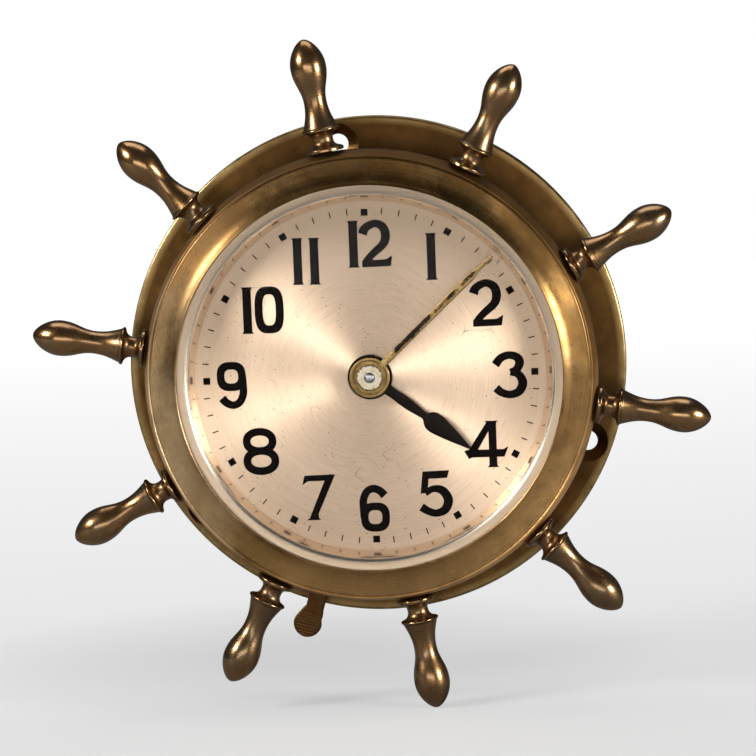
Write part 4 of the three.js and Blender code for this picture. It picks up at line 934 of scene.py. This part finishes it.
# Cream disc on the hub with ragged edges, worn through to the brass
def wornCreamMaterial():
    net = Surface("wornCream")
    place = net.place()
    rag = net.noise(place, 1500.0, 4.0, 0.65)
    reach = net.plus(net.group(brushedRingsGroup)["Radius"], net.ramp(rag, 0.2, 0.8, -0.0007, 0.0007))
    chips = net.ramp(net.noise(place, 800.0, 5.0, 0.6), 0.63, 0.68)
    bare = net.larger(net.ramp(reach, 0.00345, 0.00365), chips)
    under = net.mix(net.ramp(rag, 0.4, 0.6), (0.30, 0.19, 0.08), (0.05, 0.032, 0.016))
    aged = net.ramp(net.noise(place, 400.0, 3.0), 0.35, 0.65)
    cream = net.mix(aged, (0.82, 0.72, 0.56), (0.72, 0.58, 0.40))
    return net.shade({"Base Color": net.mix(bare, cream, under),
                      "Roughness": net.ramp(bare, 0.0, 1.0, 0.5, 0.4),
                      "Normal": net.bump(net.minus(1.0, bare), 0.5, 0.00008)})


collet = Sizes(radius=3.95, slant=0.2, hole=1.55, back=39.9, thickness=0.6, rounds=[0.03, 0.05, 0.2, 0.12])
arborTip = Sizes(radius=1.27, back=39.6, front=41.0, dome=0.3)


# The washer that holds the hands, and the domed steel tip of the centre arbor in it
def makeCollet():
    radius, hole, low, high = collet.radius, collet.hole, collet.back, collet.back + collet.thickness
    outline = roundedOutline([[hole, low], [radius, low], [radius - collet.slant, high], [hole, high]],
                             collet.rounds)
    disc = turnedPiece("handCollet", outline, onClock, columns=96, step=0.2, spread=0.2)
    ready(disc, "minute_hand", "silvered_brass", wornCreamMaterial(), "hand_collet")
    radius, back, front = arborTip.radius, arborTip.back, arborTip.front
    dome = bezier((radius, front - arborTip.dome), (radius, front - 0.08), (0.7, front), (0.05, front), 12)
    pin = turnedPiece("arborTip", np.concatenate([[[radius, back]], dome]), onClock, columns=48, step=0.15,
                      spread=0.2, ends=(back, front))
    ready(pin, "centre_wheel", "steel", metals["steel"])


makeCollet()
print("hands made")

# Setting lever: a flat bar with a drop-shaped paddle and fine cross ridges. Its reach to each side is the
# larger of two: the stem's, which stands off to one side and runs out inside the paddle, and the paddle's,
# round at the tip and pointed towards the stem. Where the two are about equal, a square of their overlap
# fills the corner.
lever = Sizes(
    turn=253.0, pivot=52.0, tip=86.3, back=10.1, thickness=1.4, stem=5.4, paddle=4.35, blend=3.2,
    bent=(-0.35, 1.0), bentAt=(10.0, 19.0), drop=1.2, point=1.6, boss=3.6, bossSide=0.7, bossEnd=0.05,
    bossLeast=0.05, stemFrom=0.1, tipEnd=0.06, ridges=9, ridge=0.05, ridgeFrom=0.9, ridgeFade=0.4,
    tipPlain=0.6, power=0.35, loops=(16, 90, 30), points=28, rubbed=0.4, endRubbed=0.3, dirt=0.5)


def makeLever():
    length, paddle, blend, fade = lever.tip - lever.pivot, lever.paddle, lever.blend, lever.ridgeFade
    middle, stemHalf = length - paddle, lever.stem / 2
    bossLoops, stemLoops, tipLoops = lever.loops
    tipTurn = np.linspace(0, np.pi / 2 - lever.tipEnd, tipLoops)[1:]
    along = np.concatenate([np.linspace(-lever.boss + lever.bossEnd, 0, bossLoops),
                            np.linspace(lever.stemFrom, middle, stemLoops)[1:],
                            middle + paddle * np.sin(tipTurn)])
    boss = np.sqrt(np.clip(lever.boss ** 2 - np.minimum(along, 0) ** 2, lever.bossLeast, None))
    before = np.clip((middle - along) / (paddle * lever.drop), 0, 1) ** lever.point
    after = np.clip((along - middle) / paddle, 0, 1) ** 2
    disc = paddle * np.where(along < middle, (1 - before) ** (1 / lever.point), (1 - after) ** 0.5)
    half = np.where(along < 0, np.minimum(boss, stemHalf + lever.bossSide), stemHalf)
    bent = np.interp(along, lever.bentAt, lever.bent)
    sides = (half + np.array([[-1], [1]]) * bent) * np.clip((middle + paddle * 0.5 - along) / paddle, 0, 1)
    overlap = np.clip(blend - np.abs(sides - disc), 0, None) * np.clip((middle - along) / paddle, 0, 1)
    left, right = np.maximum(sides, disc) + overlap ** 2 / (4 * blend)
    shapeAcross, shapeLift = oval(fullCircle(lever.points), lever.power)
    ridged = np.clip((along - middle + paddle * lever.ridgeFrom) / fade, 0, 1)
    ridged = ridged * np.clip((length - lever.tipPlain - along) / fade, 0, 1)
    dip = ridged * (np.cos(2 * np.pi * (along - middle) / (2 * paddle / lever.ridges)) - 1) / 2
    across = np.where(shapeAcross > 0, right[:, None], left[:, None]) * shapeAcross
    height = lever.back + lever.thickness / 2 * (1 + shapeLift[None])
    height = height + np.where(shapeLift > 0.5, lever.ridge, 0)[None] * dip[:, None]
    corners, faces = barShape(np.radians(lever.turn), lever.pivot + along, across, height)
    wear = np.concatenate([np.repeat(ridged, lever.points) * lever.rubbed, [lever.endRubbed] * 2])
    grime = np.concatenate([np.repeat(-dip * ridged, lever.points) * lever.dirt, [0, 0]])
    piece = makePiece("settingLever", corners, faces, {"wear": wear, "grime": grime}, sharpAngle=40)
    ready(piece, "setting_lever", "aged_brass", metals["lever"], "setting_lever")


makeLever()

# Finishes of the solids that stay as they are
dress(nodes["dial_plate"], silvers.dial)
dress(nodes["crystal"], crystalGlass)
steelNodes = ["winding_pinion", "ratchet_wheel", "click", "centre_wheel", "escape_wheel", "pallet_lever",
              "cannon_pinion", "lever_pin", "mainspring", "hairspring"]
shownElsewhere = {"mounting_flange", "case_drum", "wheel_rim", "dial_surround", "hour_hand", "minute_hand",
                  "hand_collet", "setting_lever", "dial_plate", "crystal"}
for name, solid in nodes.items():
    if name in shownElsewhere or name.startswith("spoke_"):
        continue
    dress(solid, metals["steel"] if name in steelNodes else metals["movement"])
print("movement dressed")

# Stage: a pale floor just below the lowest spoke, with a painted shadow under the clock
stage = Sizes(
    level=-101.0, size=3000.0, lines=61, pale=(0.27, 0.27, 0.27), lift=0.54, glowFrom=-0.1, glowTo=1.2,
    poolAt=(-0.03, 0.06), poolFrom=0.02, poolReach=0.12, poolShade=0.74)


# The floor glows for the camera only, as painted light that grows brighter further back, and a painted shadow
# dims the glow in a pool below the clock. From below it can't be seen.
def makeFloor():
    half, lines = stage.size / 2, stage.lines
    x, y = np.meshgrid(np.linspace(-half, half, lines), np.linspace(-half, half, lines), indexing="ij")
    corners = mm * np.stack([x, y, np.full_like(x, stage.level)], axis=-1).reshape(-1, 3)
    mesh = bpy.data.meshes.new("floor")
    mesh.from_pydata(corners.tolist(), [], gridFaces(lines, lines, wrapColumns=False).tolist())
    floor = bpy.data.objects.new("floor", mesh)
    bpy.context.scene.collection.objects.link(floor)
    net = Surface("paleFloor")
    place = net.place()
    glow = net.ramp(net.split(place)["Y"], stage.glowFrom, stage.glowTo, stage.lift, 1.0)
    pool = (*stage.poolAt, stage.level * mm)
    reach = net.add("VectorMath", {0: place, 1: pool}, operation="DISTANCE").outputs["Value"]
    # painted shadow: the glow is dimmer within the pool's reach of a spot below the clock
    glow = net.times(glow, net.ramp(reach, stage.poolFrom, stage.poolReach, stage.poolShade, 1.0))
    seen = net.add("LightPath").outputs["Is Camera Ray"]
    net.shade({"Base Color": stage.pale, "Roughness": 0.7, "Specular IOR Level": 0.2,
               "Emission Color": (1, 1, 1), "Emission Strength": net.times(glow, seen)})
    net.clearWhere(net.add("NewGeometry").outputs["Backfacing"])
    mesh.materials.append(net.material)


makeFloor()

# The camera stands to the right and above, rolled a little, and looks at a point near the dial's axis
view = Sizes(
    azimuth=3.918, elevation=6.366, roll=-2.196, distance=1200.0, aim=36.0, aside=2.242, above=-0.576,
    lens=191.4, sensor=36, near=0.01)


def makeCamera():
    azimuth, elevation, roll = np.radians([view.azimuth, view.elevation, view.roll])
    level = np.cos(elevation)
    forward = np.array([-np.sin(azimuth) * level, np.cos(azimuth) * level, -np.sin(elevation)])
    right = np.cross(forward, [0, 0, 1])
    right /= np.linalg.norm(right)
    upward = np.cross(right, forward)
    target = np.array([0, -view.aim, 0]) + right * view.aside + upward * view.above
    spot = (target - forward * view.distance) * mm
    across = right * np.cos(roll) + upward * np.sin(roll)
    above = upward * np.cos(roll) - right * np.sin(roll)
    lens = bpy.data.cameras.new("camera")
    lens.lens, lens.sensor_width, lens.clip_start = view.lens, view.sensor, view.near
    camera = bpy.data.objects.new("camera", lens)
    camera.matrix_world = Matrix([*np.column_stack([across, above, -forward, spot]).tolist(), (0, 0, 0, 1)])
    bpy.context.scene.collection.objects.link(camera)
    bpy.context.scene.camera = camera


makeCamera()

# A soft box stands at an angle round the dial's axis and an angle off that axis, and faces the clock
lights = Sizes(
    rightBox=Sizes(round=9, off=62, distance=1.1, width=0.32, height=0.27, power=8.7),
    leftBox=Sizes(round=151, off=62, distance=1.1, width=0.32, height=0.27, power=8.2),
    topBox=Sizes(round=90, off=102, distance=1.1, width=1.0, height=0.6, power=3.6),
    roomFill=Sizes(round=270, off=3, distance=2.4, width=2.2, height=1.0, power=19.3),
)


def makeLight(name, look):
    turn, off = np.radians([look.round, look.off])
    toLight = Vector((np.sin(off) * np.cos(turn), -np.cos(off), np.sin(off) * np.sin(turn)))
    lamp = bpy.data.lights.new(name, "AREA")
    lamp.shape = "RECTANGLE"
    lamp.size, lamp.size_y, lamp.energy = look.width, look.height, look.power
    box = bpy.data.objects.new(name, lamp)
    box.location = toLight * look.distance + Vector((0, -view.aim * mm, 0))
    box.rotation_euler = toLight.to_track_quat("Z", "Y").to_euler()
    bpy.context.scene.collection.objects.link(box)


for name, look in lights.items():
    makeLight(name, look)


# White for the camera, and only a little light for everything else
def makeWorld(strength=0.06):
    world = bpy.data.worlds.new("studio")
    world.use_nodes = True
    air = Net(world.node_tree)
    dim, output = air.tree.nodes["Background"], air.tree.nodes["World Output"]
    air.feed(dim, {"Color": (1, 1, 1), "Strength": strength})
    white = air.add("Background", {"Color": (1, 1, 1), "Strength": 1.0})
    seen = air.add("LightPath").outputs["Is Camera Ray"]
    both = air.add("MixShader", {0: seen, 1: dim.outputs[0], 2: white.outputs[0]})
    air.feed(output, {"Surface": both.outputs[0]})
    bpy.context.scene.world = world


makeWorld()
bpy.context.scene.view_settings.view_transform = "Standard"
print("stage, camera and lights made")
